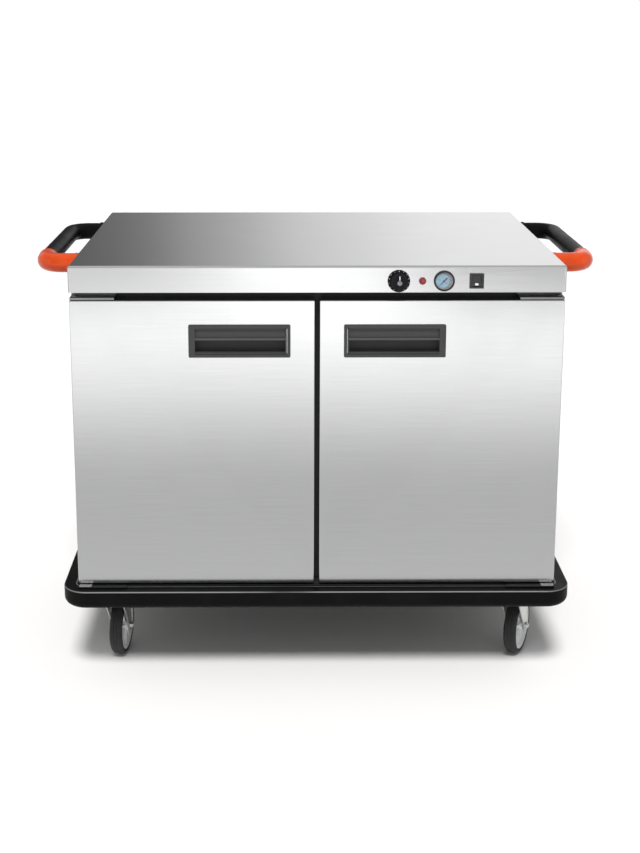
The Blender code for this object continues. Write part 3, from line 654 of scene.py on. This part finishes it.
def build_skins():
    for word, side in SIDES.items():
        low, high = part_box(f"{word}_side_panel")
        inner = "+X" if side < 0 else "-X"
        panel = pan(low, high, (inner, "-Y", "+Z", "-Z"), SHEET, 3 * MM)
        piece(f"{word}_side_skin", panel, "side_steel", BODY, [f"{word}_side_panel"])
    low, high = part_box("back_panel")
    piece("back_skin", plate(low, high, 1, 1.5 * MM, 0.3 * MM), "back_steel", BODY,
          ["back_panel"])

    margin, columns, rows = 14 * MM, 5, 4
    across = [low.x + margin + (high.x - low.x - 2 * margin) * i / (columns - 1) for i in range(columns)]
    up = [low.z + margin + (high.z - low.z - 2 * margin) * i / (rows - 1) for i in range(rows)]
    spots = [(x, z) for x in across for z in (up[0], up[-1])]
    spots += [(x, z) for x in (across[0], across[-1]) for z in up[1:-1]]
    heads = copies(pan_head_screw(4 * MM), [at(x, high.y, z) @ REAR for x, z in spots])
    piece("back_panel_screws", heads, "zinc", BODY)


def build_shelves():
    """Wire racks: a stout frame, thin wires front to back, and two cross wires below them."""
    frame_wire, thin_wire, inset = 2.45 * MM, 1.3 * MM, 3 * MM
    wires = 15
    for side in SIDES:
        for level in ("lower", "upper"):
            node = f"{side}_shelf_{level}"
            low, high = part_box(node)
            centre, half = (low + high) / 2, (high - low) / 2
            loop = rounded_loop(half.x - frame_wire, half.y - frame_wire, 14 * MM)
            rim = swept([(centre.x + x, centre.y + y, centre.z) for x, y in loop],
                        circle(frame_wire, 12), (0, 0, 1))
            parts = [rim]
            for i in range(wires):
                x = low.x + (high.x - low.x) * (i + 1) / (wires + 1)
                parts.append(rod((x, low.y + inset, high.z - thin_wire),
                                 (x, high.y - inset, high.z - thin_wire), thin_wire, 10))
            for y in (centre.y - half.y / 3, centre.y + half.y / 3):
                parts.append(rod((low.x + inset, y, high.z - 3 * thin_wire),
                                 (high.x - inset, y, high.z - 3 * thin_wire), thin_wire, 10))
            piece(f"{node}_wires", combined(*parts), "wire", BODY, [node])


def build_bumper():
    """Extruded rubber profile: a deep round below, a tight top edge, its carrier strip's groove."""
    low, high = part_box("bumper_ring")
    wall_x, wall_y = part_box("chassis_frame")[1].x + 0.5 * MM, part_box("chassis_frame")[1].y + 0.5 * MM
    proud, tall = high.x - wall_x, high.z - low.z
    nose, edge = 15.5 * MM, 2.6 * MM
    profile = [(0, 0)]
    profile += arc((proud - nose, nose), nose, -90, 0, 10)
    profile += arc((proud - edge, tall - edge), edge, 0, 90, 3)
    groove = 1.2 * MM
    profile += [(7 * MM, tall), (6.6 * MM, tall - groove), (5.0 * MM, tall - groove), (4.6 * MM, tall),
                (0.8 * MM, tall), (0, tall - 0.8 * MM)]
    corner = 19 * MM
    path = [(x, y, low.z) for x, y in rounded_loop(wall_x, wall_y, corner, 12)]
    piece("bumper_profile", swept(path, profile, (0, 0, 1)), "bumper_rubber", BODY,
          ["bumper_ring"], 40)


# ---------------------------------------------------------------- side handles


def build_handles():
    """A black bar with its rear bend, plugged into the thicker front elbow; both end in collars."""
    sides = 32
    for word, side in SIDES.items():
        bar_low, bar_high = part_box(f"{word}_handle_bar")
        elbow_low, elbow_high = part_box(f"{word}_handle_elbow")
        height = (bar_low.z + bar_high.z) / 2
        thin, thick = (bar_high.z - bar_low.z) / 2, (elbow_high.z - elbow_low.z) / 2
        outer = max(abs(elbow_low.x), abs(elbow_high.x)) - thick
        wall = min(abs(elbow_low.x), abs(elbow_high.x))
        reach_y = bar_high.y - thin
        bend = 40 * MM
        joint = bar_low.y

        def path(points):
            return [(side * x, y, height) for x, y in points]

        turn = (outer - bend, reach_y - bend)
        rear = list(arc(turn, bend, 0, 90, 14))
        bar = [(outer, joint - 12 * MM), (outer, joint + 1 * MM), *rear,
               (wall + 7 * MM, reach_y), (wall + 6 * MM, reach_y), (wall + 1 * MM, reach_y),
               (wall, reach_y)]
        sizes = [0.9, 1.0] + [1.0] * len(rear) + [1.0, 1.10, 1.10, 1.07]
        piece(f"{word}_grip_bar", swept(path(bar), circle(thin, sides), (0, 0, 1), False, sizes),
              "grip_plastic", BODY, [f"{word}_handle_bar"], 40)

        front = list(arc((turn[0], -turn[1]), bend, -90, 0, 14))
        slim = thick - 0.7 * MM
        elbow = [(wall, -reach_y), (wall + 1 * MM, -reach_y), (wall + 6 * MM, -reach_y),
                 (wall + 7.5 * MM, -reach_y), *front, (outer, joint - 6 * MM), (outer, joint - 5 * MM),
                 (outer, joint - 1.2 * MM), (outer, joint - 0.3 * MM)]
        full = thick / slim
        sizes = [full * 0.98, full, full, 1.0] + [1.0] * len(front) + [1.0, full, full, full * 0.97]
        piece(f"{word}_grip_elbow", swept(path(elbow), circle(slim, sides), (0, 0, 1), False, sizes),
              "orange_plastic", BODY, [f"{word}_handle_elbow"], 40)


# ---------------------------------------------------------------- controls


def on_fascia(node):
    """The matrix that puts a control on the fascia, at its CAD node."""
    centre = middle(node)
    return at(centre.x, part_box("worktop")[0].y, centre.z) @ FRONT


def dial_ticks(count, sweep, low, high, reach, width, major, long, short):
    """Radial ticks round local Z: every major-th one is long."""
    ticks = []
    for i in range(count + 1):
        turn = Matrix.Rotation(math.radians(sweep / 2 - sweep * i / count), 4, "Z")
        length = short if i % major else long
        tick = block(*mm((-width / 2, reach - length, low), (width / 2, reach, high)))
        ticks.append(moved(tick, turn))
    return combined(*ticks)


def build_knob():
    place = on_fascia("thermostat_knob")
    body = lathe(mm((0, 0.6), (22.0, 0.6), (22.5, 1.1), (22.5, 2.6), (21.9, 3.3), (18.6, 3.4),
                    (17.9, 4.4), (17.6, 7.0), (17.3, 16.5), (16.6, 18.6), (15.2, 19.8), (12.0, 20.0),
                    (0, 20.0)), 120, flutes=((7, 8, 9), 20, 1.3 * MM))
    ridge = block(*mm((-3.2, -15, 17), (3.2, 15, 24)), 1.1 * MM)
    piece("knob_body", moved(combined(body, ridge), place), "knob_plastic", "thermostat_knob",
          ["thermostat_knob"])
    line = block(*mm((-0.8, 5.6, 23.8), (0.8, 14.2, 24.05)))
    ticks = dial_ticks(12, 300, 3.1, 3.5, 21.7, 0.8, 3, 2.8, 1.7)
    piece("knob_marks", moved(combined(line, ticks), place), "print_white", "thermostat_knob")
    cap = lathe(mm((0, 23.2), (5.0, 23.2), (5.0, 24.2), (4.4, 24.6), (0, 24.8)), 40)
    # The cap takes the zinc darkened as painted shade.
    piece("knob_cap", moved(cap, place), "hinge_zinc", "thermostat_knob")


def build_lamp():
    dome = arc((0, 1.2), 5.3, 0, 80, 7)
    lens = lathe(mm((0, 0.5), (5.2, 0.5), *dome, (0, 6.5)), 48,
                 flutes=((3, 4, 5, 6), 12, 0.35 * MM))
    rim = lathe(mm((5.0, 0.4), (7.3, 0.4), (7.5, 0.7), (7.4, 2.2), (6.9, 2.6), (6.2, 2.6), (5.6, 1.9),
                   (5.0, 1.9)), 48, ring=True)
    barrel = lathe(mm((0, 0.4), (5.2, 0.4), (5.2, -21.5), (4.8, -22), (0, -22)), 24)
    piece("lamp_lens", moved(combined(lens, rim, barrel), on_fascia("pilot_lamp")), "lamp_plastic",
          BODY, ["pilot_lamp"])


def build_thermometer():
    """Bezel, a grey dial plate under a blue field set off to the left, so a grey crescent of painted shade
    shows on the dial's right; its print, the hand, the glass.
    """
    place = on_fascia("thermometer_case")
    case = lathe(mm((0, -0.2), (17.7, -0.2), (17.7, 3.2), (18.2, 4.2), (18.9, 4.5), (19.9, 4.3),
                    (20.8, 3.4), (21.0, 2.6), (21.0, 0.4), (18.8, 0.4), (18.8, -19.5), (18.3, -20),
                    (0, -20)), 72)
    piece("thermometer_bezel", moved(case, place), "black_plastic", BODY,
          ["thermometer_case"])
    # Painted shade: the grey plate shows only as the crescent on the dial's right.
    under = lathe(mm((0, -0.3), (17.6, -0.3), (17.6, 0.25), (0, 0.25)), 72)
    piece("dial_shade_plate", moved(under, place), "dial_grey", BODY)

    radius, face, numeral_reach, sweep = 13.8, 0.55, 7.9, 250
    # The field sits 3.7 mm to the left, leaving the painted shade crescent.
    field_place = place @ at(-3.7 * MM, 0, 0)
    field = lathe(mm((0, 0.2), (radius, 0.2), (radius, face), (0, face)), 72)
    piece("dial_field", moved(field, field_place), "dial_blue", BODY)
    marks = [dial_ticks(20, sweep, face - 0.1, face + 0.06, radius - 1, 0.28, 5, 2.4, 1.3)]
    numbers = ("0", "30", "60", "90", "120")
    for i, number in enumerate(numbers):
        angle = math.radians(90 + sweep / 2 - sweep * i / (len(numbers) - 1))
        spot = at_mm(numeral_reach * math.cos(angle), numeral_reach * math.sin(angle), face)
        marks.append(moved(lettering(number, 3.4 * MM, 0.12 * MM), spot))
    piece("dial_marks", moved(combined(*marks), field_place), "print_black", BODY)

    arbor = lathe(mm((0, 1.85), (1.9, 1.85), (2.3, 1.4), (2.3, 0.7), (0, 0.7)), 32)
    outline = mirrored([(-14.8, 0.35), (-2, 1.1), (4, 1.1), (8, 2.1)])
    hand = moved(extruded(mm(*outline), 0.4 * MM, 0.1 * MM),
                 at(0, 0, 1.1 * MM) @ Matrix.Rotation(math.radians(45), 4, "Z"))
    piece("pointer_hand", moved(combined(arbor, hand), place), "print_black", "thermometer_pointer",
          ["thermometer_needle"])
    glass = lathe(mm((0, 3.6), (9, 3.45), (15.5, 3.1), (17.5, 2.7), (17.5, 2.2), (0, 2.2)), 72)
    piece("dial_glass", moved(glass, place), "clear_lens", BODY, ["thermometer_lens"], 60)


def build_switch():
    place = on_fascia("switch_body")
    well = mm((-10, -11.7, -12), (10, 11.7, 10))
    bezel = carved(plate(*mm((-14.5, -15.5, 0.4), (14.5, 15.5, 2.3)), 2, 1.6 * MM, 0.6 * MM),
                   block(*well))
    barrel = carved(block(*mm((-11.8, -13, -24), (11.8, 13, 1.4)), 0.6 * MM, 2), block(*well))
    piece("switch_case", moved(combined(bezel, barrel), place), "pull_plastic", BODY,
          ["switch_body"])

    def saddle(up):
        """How far the rocker's hollow face stands out of its pivot, at a height."""
        return 2.0 + 2.8 * (up / 10.4) ** 2

    outline = [(saddle(2.6 * i), 2.6 * i) for i in range(-4, 5)]
    outline += [(-2.0, 9.8), (-7.2, 1.5), (-7.2, -1.5), (-2.0, -9.8)]
    pivot = joint_place("switch_rock")
    centre = middle("switch_body")
    rest = Matrix.Rotation(math.radians(-7), 4, "X")
    stand = at(centre.x, pivot.y, centre.z) @ rest @ OUTWARD
    rocker = extruded(mm(*outline), 19.4 * MM, 0.5 * MM)
    piece("rocker_cap", moved(rocker, stand), "pull_plastic", "switch_rocker",
          ["switch_rocker"])
    film = 0.12
    mark = extruded(mm((2.4, -9.0), (2.4, -5.2), (saddle(-5.2) + film, -5.2),
                       (saddle(-9.0) + film, -9.0)), 6.5 * MM, 0.05 * MM)
    piece("rocker_mark", moved(mark, stand), "print_white", "switch_rocker")


def build_inlet():
    """A three-pin appliance inlet, screwed to the rear skirt."""
    centre = middle("power_inlet")
    place = at(centre.x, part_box("worktop")[1].y, centre.z) @ REAR
    well = mm((-12.2, -8.3, -17), (12.2, 8.3, 10))
    flange = carved(plate(*mm((-24, -12.5, 0.4), (24, 12.5, 3.4)), 2, 4 * MM, 0.6 * MM), block(*well))
    barrel = carved(block(*mm((-13.8, -10, -20), (13.8, 10, 2)), 0.8 * MM, 2), block(*well))
    piece("inlet_case", moved(combined(flange, barrel), place), "black_plastic", BODY,
          ["power_inlet"])
    pins = [block(*mm((x - 1, y - 2, -17.5), (x + 1, y + 2, -3)), 0.4 * MM, 2)
            for x, y in ((-7, -1.8), (7, -1.8), (0, 2.4))]
    screws = copies(pan_head_screw(2.8 * MM), [at(x, 0, 3.4 * MM) for x in (-19 * MM, 19 * MM)])
    piece("inlet_pins_and_screws", moved(combined(*pins, screws), place), "zinc", BODY)


# ---------------------------------------------------------------- doors and hinges


def pressed_inner(low, high):
    """The door's inner pan, with a shallow pressed field inside its gasket."""
    shape = open_box(low, high, ("-Y",))
    border, slope, pressed = 32 * MM, 7 * MM, 4.5 * MM
    back = [face for face in shape.faces if face.normal.y > ALONG]
    bmesh.ops.inset_individual(shape, faces=back, thickness=border, depth=0)
    bmesh.ops.inset_individual(shape, faces=back, thickness=slope, depth=-pressed)
    return folded(shape, DOOR_SHEET, 2.5 * MM, 3)


def build_door(word, side):
    body = f"{word}_door"
    low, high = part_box(f"{word}_door_skin")
    pull = middle(f"{word}_door_pull")
    axis = joint_place(f"{word}_door_hinge")
    hole = window(pull, low.y, 95.8, 27.3)
    deep, pin_hole = 5 * MM, 4.3 * MM
    pin_holes = [rod((axis.x, axis.y, z - deep), (axis.x, axis.y, z + deep), pin_hole, 24)
                 for z in (low.z, high.z)]
    skin = carved(pan(low, high, ("+Y",), DOOR_SHEET, 2 * MM), hole, *pin_holes)
    piece(f"{word}_door_sheet", skin, "door_steel", body, [f"{word}_door_skin"])
    piece(f"{word}_door_liner", pressed_inner(*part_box(f"{word}_door_inner")), "liner_steel", body,
          [f"{word}_door_inner"])

    low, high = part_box(f"{word}_door_gasket")
    width, deep = 11.0, (high.y - low.y) / MM
    loop = rounded_loop((high.x - low.x - width * MM) / 2, (high.z - low.z - width * MM) / 2, 12 * MM)
    bulb = [(x, -y) for x, y in arc((0, deep - 2.7), 2.7, 180, 0, 8)]
    profile = mm((-width / 2, 0), (-width / 2, -1.6), (-width / 2 + 1.2, -2.2), (-3.2, -1.9),
                 *bulb, (3.2, -1.9), (width / 2 - 1.2, -2.2), (width / 2, -1.6), (width / 2, 0))
    centre = (low + high) / 2
    path = [(centre.x + x, low.y, centre.z + z) for x, z in loop]
    piece(f"{word}_door_seal", swept(path, profile, (0, -1, 0)), "gasket_rubber", body,
          [f"{word}_door_gasket"], 50)
    build_pull(word, side)


def build_pull(word, side):
    """Recessed grip: a rim, wider on the hinge side, a lip with a rolled edge, and the cup."""
    low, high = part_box(f"{word}_door_pull")
    centre = (low + high) / 2
    place = at(centre.x, low.y, centre.z) @ FRONT  # local Z = 0 on the rim's face
    half, mouth, wide, narrow = 103, 94.6, 13.0, 6.5
    inner, outer = (-half + wide, half - narrow) if side < 0 else (-half + narrow, half - wide)
    rim = carved(plate(*mm((-half, -34, -2.8), (half, 34, 0)), 2, 3 * MM, 0.8 * MM),
                 plate(*mm((inner, -27.5, -10), (outer, 27, 10)), 2, 2 * MM, 0.2 * MM))
    lip = block(*mm((-mouth, 1.5, -10), (mouth, 27, -5.6)), 0.8 * MM, 2)
    roll = rod(*mm((-mouth, 3.6, -3.4), (mouth, 3.6, -3.4)), 2.7 * MM, 20)
    cup = pan(*mm((-95, -26.5, -24.7), (95, 26.5, -1.8)), ("+Z",), 2.2 * MM, 5 * MM)
    sill = block(*mm((-mouth, -26, -5.0), (mouth, -23.6, -1.6)), 0.7 * MM, 2)
    piece(f"{word}_grip_recess", moved(combined(rim, lip, roll, cup, sill), place), "pull_plastic",
          f"{word}_door", [f"{word}_door_pull"])


def build_hinges(word, side):
    """Pivot plates: zinc darkened to mid grey at the top as painted shade in the gap under the fascia,
    nearly black at the bottom as painted shadow under the door, with a bright strap by the pin.
    """
    axis = joint_place(f"{word}_door_hinge")
    door_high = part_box(f"{word}_door_skin")[1]
    low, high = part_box(f"{word}_hinge_top")
    shelf_low, shelf_high = door_high.z + 1.3 * MM, door_high.z + 6.3 * MM
    top = plate((low.x, low.y, shelf_low), (high.x, high.y, shelf_high), 2, 2 * MM, 0.8 * MM)
    leg = block((low.x, high.y - 3.5 * MM, shelf_low + 2 * MM), high, 0.6 * MM, 2)
    pin = rod((axis.x, axis.y, shelf_low + MM), (axis.x, axis.y, low.z), 4 * MM, 24, 0.8 * MM)
    cap = moved(pan_head_screw(5 * MM), at(axis.x, axis.y, shelf_high))
    # Painted shade: the top plates take the darkened zinc.
    piece(f"{word}_top_pivot", combined(top, leg, pin, cap), "hinge_zinc", BODY,
          [f"{word}_hinge_top"])

    low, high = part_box(f"{word}_hinge_bottom")
    ledge = low.z + 3.4 * MM
    bottom = plate((low.x, low.y, low.z), (high.x, high.y, ledge), 2, 2.5 * MM, 0.9 * MM)
    flat = Matrix.Diagonal((1, 1, 0.5, 1))
    heads = copies(pan_head_screw(3.6 * MM), [at(axis.x - side * away * MM, low.y + 6.5 * MM, ledge) @ flat
                                              for away in (52, 84)])
    # Painted shadow: the bottom plates take the near-black zinc.
    piece(f"{word}_bottom_pivot", combined(bottom, heads), "dark_zinc", BODY,
          [f"{word}_hinge_bottom"])
    pin = rod((axis.x, axis.y, low.z + 2 * MM), (axis.x, axis.y, high.z), 4 * MM, 24, 0.8 * MM)
    middle_x, half = axis.x - side * 5.5 * MM, Vector((13 * MM, 6.3 * MM))
    middle_y, thick = low.y + 6.9 * MM, 1.1 * MM
    strap = plate((middle_x - half.x, middle_y - half.y, ledge - MM),
                  (middle_x + half.x, middle_y + half.y, ledge + thick), 2, 3 * MM, 0.35 * MM)
    sockets = copies(lathe(mm((0, 0.5), (2.6, 0.5), (2.6, 4), (0, 4)), 6),
                     [at(middle_x + x * MM, middle_y, ledge) for x in (-6.5, 6.5)])
    piece(f"{word}_pivot_pin_and_strap", combined(pin, carved(strap, sockets)), "zinc", BODY)


# ---------------------------------------------------------------- casters


PEDAL_PIN = (62, 128)  # behind the king pin, above the floor, in mm


def build_caster(name):
    """Top plate with its ball race, pressed fork, ribbed hub, rounded tyre; a pedal if braked."""
    plate_low, plate_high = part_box(f"caster_plate_{name}")
    head = (plate_low + plate_high) / 2
    wheel = middle(f"caster_hub_{name}")
    trail = math.hypot(wheel.x - head.x, wheel.y - head.y) / MM
    swivel = math.atan2(head.x - wheel.x, wheel.y - head.y)
    fixed = at(head.x, head.y, 0)
    turned = fixed @ Matrix.Rotation(swivel, 4, "Z")
    axle = wheel.z / MM
    top = plate_high.z / MM
    braked = f"brake_{name}" in frame["bodies"]
    build_caster_head(name, fixed, top)
    build_fork(name, turned, trail, axle, braked)
    build_wheel(name, turned @ at_mm(0, trail, axle) @ ACROSS)
    if braked:
        build_pedal(name, turned)


def build_caster_head(name, place, top):
    base = plate(*mm((-50, -42, top - 3), (50, 42, top)), 2, 8 * MM, 0.6 * MM)
    bolts = copies(hex_nut(6.2 * MM, 4 * MM),
                   [at(x * MM, y * MM, (top - 3) * MM) @ DOWN for x in (-39, 39) for y in (-32, 32)])
    race = lathe(mm((0, 161), (24, 161), (25.4, 158.8), (25.4, 153.2), (24.2, 151.2), (22.5, 150.6),
                    (21.6, 149.8), (0, 149.8)), 48)
    pin = rod(*mm((0, 0, 150), (0, 0, 137)), 5.5 * MM, 24)
    nut = moved(hex_nut(9.8 * MM, 5 * MM), at_mm(0, 0, 138.5) @ DOWN)
    piece(f"caster_head_{name}", moved(combined(base, bolts, race, pin, nut), place), "zinc", BODY,
          [f"caster_plate_{name}"])


def build_fork(name, place, trail, axle, braked):
    crown = lathe(mm((27, 144), (27, 148), (26.2, 149.2), (24.8, 149.5), (6.3, 149.5), (6.3, 140.5),
                     (25, 140.5)), 48, ring=True)
    bridge = carved(block(*mm((-20.5, -21.5, 140), (20.5, 27.5, 143)), 1.2 * MM),
                    rod(*mm((0, 0, 130), (0, 0, 160)), 7 * MM, 32))
    outline = [(-22, 142), (-21.5, 139), (-19, 126), (trail - 14.5, axle + 6)]
    outline += arc((trail, axle), 12, 195, 360, 10)
    if braked:
        outline += [(trail + 22, 108), (69, 121), (69.5, 132), (60, 134.5)]
    outline += [(31, 137.5), (28, 142)]
    leg = extruded(mm(*outline), 3 * MM, 0.7 * MM)
    legs = copies(leg, [at(x * MM, 0, 0) @ SIDEWAYS for x in (-19, 19)])
    spindle = rod(*mm((-26.8, trail, axle), (26.8, trail, axle)), 3.8 * MM, 20, 0.5 * MM)
    nuts = copies(hex_nut(7.5 * MM, 4.6 * MM),
                  [at_mm(side * 20.5, trail, axle) @ Matrix.Rotation(side * math.pi / 2, 4, "Y")
                   for side in SIDES.values()])
    parts = [crown, bridge, legs, spindle, nuts]
    if braked:
        parts.append(rod(*mm((-20.5, *PEDAL_PIN), (20.5, *PEDAL_PIN)), 2.5 * MM, 16))
    piece(f"caster_yoke_{name}", moved(combined(*parts), place), "zinc",
          f"caster_{name}_swivel", [f"caster_fork_{name}"])


def build_wheel(name, place):
    """The wheel turns round local Z."""
    body = f"caster_{name}_wheel"
    low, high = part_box(f"caster_hub_{name}")
    rim = (high.z - low.z) / 2 / MM
    half = [(rim, 12.5), (rim - 1.6, 13.0), (rim - 3.8, 12.6), (rim - 7, 7.4), (rim - 9, 6.4),
            (17, 6.0), (14.6, 7.0), (12.4, 10), (12, 15.2), (11.3, 16), (4.3, 16)]
    disc = lathe(mm(*mirrored(half)), 64, ring=True)
    ribs, rib_count = [], 10
    for i in range(rib_count):
        turn = Matrix.Rotation(math.tau * i / rib_count, 4, "Z")
        ribs += [moved(block(*mm((13, -0.9, foot), (rim - 6, 0.9, foot + 4.6)), 0.4 * MM, 2), turn)
                 for foot in (5.6, -10.2)]
    piece(f"wheel_hub_{name}", moved(combined(disc, *ribs), place), "hub_plastic", body,
          [f"caster_hub_{name}"])

    half = [(rim + 0.5, 12.2), (rim + 1, 13.4), (rim + 2, 14), (57, 13.8), (59.2, 12.6), (61, 10.8),
            (62, 8.4), (62.4, 6), (62.5, 3.6), (61.8, 3.3), (61.8, 2.5), (62.5, 2.2)]
    tyre = lathe(mm(*mirrored(half)), 96, ring=True)
    piece(f"wheel_tyre_{name}", moved(tyre, place), "tyre_rubber", body,
          [f"caster_tyre_{name}"], 40)


def build_pedal(name, place):
    """Brake pedal on its cross pin: ribbed tread plate with a curled tip, and the shoe."""
    barrel = moved(lathe(mm((4.8, 15.5), (4.8, -15.5), (2.9, -15.5), (2.9, 15.5)), 32, ring=True),
                   at_mm(0, *PEDAL_PIN) @ ACROSS)
    side_view = [(65.5, 126.8), (104, 126.6), *arc((106.8, 128.8), 2.2, -90, 90, 6), (100, 130.6),
                 (65.5, 130.8)]
    tread = moved(extruded(mm(*side_view), 31 * MM, 0.6 * MM), SIDEWAYS)
    ribs = [block(*mm((-13.5, y, 130), (13.5, y + 1.6, 131.3)), 0.4 * MM, 2) for y in range(74, 102, 5)]
    shoe = block(*mm((-12, 68, 119), (12, 74, 128)), 1 * MM, 2)
    piece(f"brake_tread_{name}", moved(combined(barrel, tread, *ribs, shoe), place), "pedal_paint",
          f"brake_{name}", [f"brake_pedal_{name}"])


# ---------------------------------------------------------------- CAD nodes that stay

KEPT = {
    "chassis_frame": "chassis_paint",
    # Painted shade: the face frame takes the black chassis paint, so the gaps round the doors read as
    # shadow.
    "face_frame": "chassis_paint",
    "roof_panel": "back_steel",
    "inner_liner": "liner_steel",
    "centre_partition": "liner_steel",
    "heater_cover": "liner_steel",
    "heating_element": "sheathed_element",
    "insulation_jacket": "mineral_wool",
    "thermostat_body": "black_plastic",
}


def finish_kept_nodes():
    for node, material in KEPT.items():
        obj = frame["nodes"][node]
        obj.data.materials.clear()
        obj.data.materials.append(MATERIALS[material])


# ---------------------------------------------------------------- floor, light and camera


def studio_face(name, low, high, material):
    """A flat rectangle between two opposite corners, which isn't part of the object."""
    axis = 0 if high[0] > low[0] else 1
    second, fourth = list(low), list(high)
    second[axis], fourth[axis] = high[axis], low[axis]
    shape = bmesh.new()
    shape.faces.new([shape.verts.new(corner) for corner in (low, second, high, fourth)])
    obj = linked(name, mesh_of(shape, name))
    obj.data.materials.append(material)
    return obj


def emitter(name, low, high, ramp_axis, stops):
    """A card that only glossy rays see: brightness by (place, radiance) stops along one axis."""
    recipe = Recipe(name, {})
    spots, levels = zip(*sorted(stops))
    start, end, peak = spots[0], spots[-1], max(levels)
    curve = recipe.node("FloatCurve",
                        {"Value": recipe.remap(recipe.along(ramp_axis), 0.0, 1.0, start, end)})
    points = curve.mapping.curves[0].points
    for _ in range(len(stops) - 2):
        points.new(0.5, 0.5)
    for point, spot, level in zip(points, spots, levels):
        point.location = ((spot - start) / (end - start), level / peak)
        point.handle_type = "AUTO_CLAMPED"
    curve.mapping.update()
    glow = recipe.node("Emission", {"Color": curve.outputs["Value"], "Strength": peak})
    recipe.feed(recipe.tree.nodes["Material Output"], {"Surface": glow.outputs["Emission"]})
    recipe.tree.nodes.remove(recipe.shader)
    card = studio_face(name, low, high, recipe.material)
    card.visible_camera = card.visible_diffuse = card.visible_shadow = False


def build_floor():
    recipe = Recipe("pale_floor", {"Specular IOR Level": 0.0})
    tone = recipe.noise(0.6, 3.0)
    material = recipe.finished(
        recipe.mix(recipe.remap(tone), (0.88, 0.872, 0.865), (0.90, 0.892, 0.885)),
        recipe.remap(tone, 0.75, 0.85))
    floor = studio_face("floor", (-FLOOR_REACH, -FLOOR_REACH, 0), (FLOOR_REACH, FLOOR_REACH, 0),
                        material)


def build_world():
    """White where the camera sees it, and a dimmer even light on the object."""
    world = bpy.data.worlds.new("studio")
    bpy.context.scene.world = world
    world.use_nodes = True
    tree = world.node_tree
    backdrop = tree.nodes["Background"]
    seen = tree.nodes.new("ShaderNodeLightPath")
    level = tree.nodes.new("ShaderNodeMapRange")
    level.inputs["To Min"].default_value = WORLD_LEVEL
    level.inputs["To Max"].default_value = 1.0
    tree.links.new(seen.outputs["Is Camera Ray"], level.inputs["Value"])
    tree.links.new(level.outputs["Result"], backdrop.inputs["Strength"])
    backdrop.inputs["Color"].default_value = (1.0, 1.0, 1.0, 1.0)


def build_key():
    """A broad soft key from above the operator; only matt surfaces take it."""
    light = bpy.data.lights.new("key", "SUN")
    light.energy, light.angle = KEY_LEVEL, KEY_SPREAD
    key = linked("key", light)
    key.rotation_euler = Vector(KEY_DIRECTION).to_track_quat("-Z", "Y").to_euler()
    key.visible_glossy = False


def build_studio():
    """Plain studio: the doors mirror the floor cards in front, the top mirrors the one behind."""
    build_world()
    build_key()
    build_floor()
    lift, foot, wide, tall = 1.5 * MM, 0.1, 5.0, 3.5
    near, far, end = -0.42, -4.15, -8.0
    behind, ceiling, reach = 4.0, 4, 3
    across = [(-wide, 0.92), (-1.25, 0.98), (-0.9, 1.09), (-0.62, 1.40), (-0.36, 2.08), (-0.12, 2.95),
              (0.30, 2.95), (0.52, 2.0), (0.78, 1.05), (1.1, 0.52), (wide, 0.52)]
    emitter("door_card", (-wide, far, lift), (wide, near, lift),
            "Y", [(far, 2.36), (-3.4, 2.18), (-2.95, 2.02), (-2.6, 1.76), (-2.24, 1.36), (-1.95, 1.08),
                  (-1.7, 0.89), (-1.45, 0.85), (-1.2, 0.88), (near, 1.02)])
    emitter("fascia_card", (-wide, end, lift), (wide, far, lift), "X", across)
    emitter("front_card", (-wide, end, 0), (wide, end, 2 * tall), "X", [(-wide, 0.8), (0, 1.3), (wide, 0.8)])
    emitter("ceiling_card", (-reach, -reach, ceiling), (reach, reach, ceiling),
            "Y", [(-reach, 0.6), (0.5, 1.05), (reach, 0.75)])
    emitter("top_card", (-wide, behind, foot), (wide, behind, tall),
            "X", [(-wide, 0.9), (-3.2, 0.8), (-2.2, 0.4), (-1.6, 0.13), (-1.2, 0.16), (-0.5, 0.48),
                  (0.3, 0.99), (1.2, 1.24), (wide, 1.24)])
    for side in SIDES.values():
        emitter("side_card", (side * wide, -reach, foot), (side * wide, reach, tall),
                "Y", [(-reach, 1.5), (0, 1.0), (reach, 0.6)])
    bpy.context.scene.view_settings.view_transform = "Standard"


def build_camera():
    lens = bpy.data.cameras.new("camera")
    lens.lens = CAMERA_LENS
    lens.shift_x, lens.shift_y = CAMERA_SHIFT
    lens.clip_end = CAMERA_REACH
    camera = linked("camera", lens)
    camera.location = CAMERA_PLACE
    camera.rotation_euler = (math.pi / 2 - CAMERA_PITCH, 0, CAMERA_YAW)
    bpy.context.scene.camera = camera


build_worktop()
build_skins()
build_shelves()
build_bumper()
build_handles()
build_knob()
build_lamp()
build_thermometer()
build_switch()
build_inlet()
for door_word, door_side in SIDES.items():
    build_door(door_word, door_side)
    build_hinges(door_word, door_side)
for caster_name in CASTERS:
    build_caster(caster_name)
finish_kept_nodes()
build_studio()
build_camera()
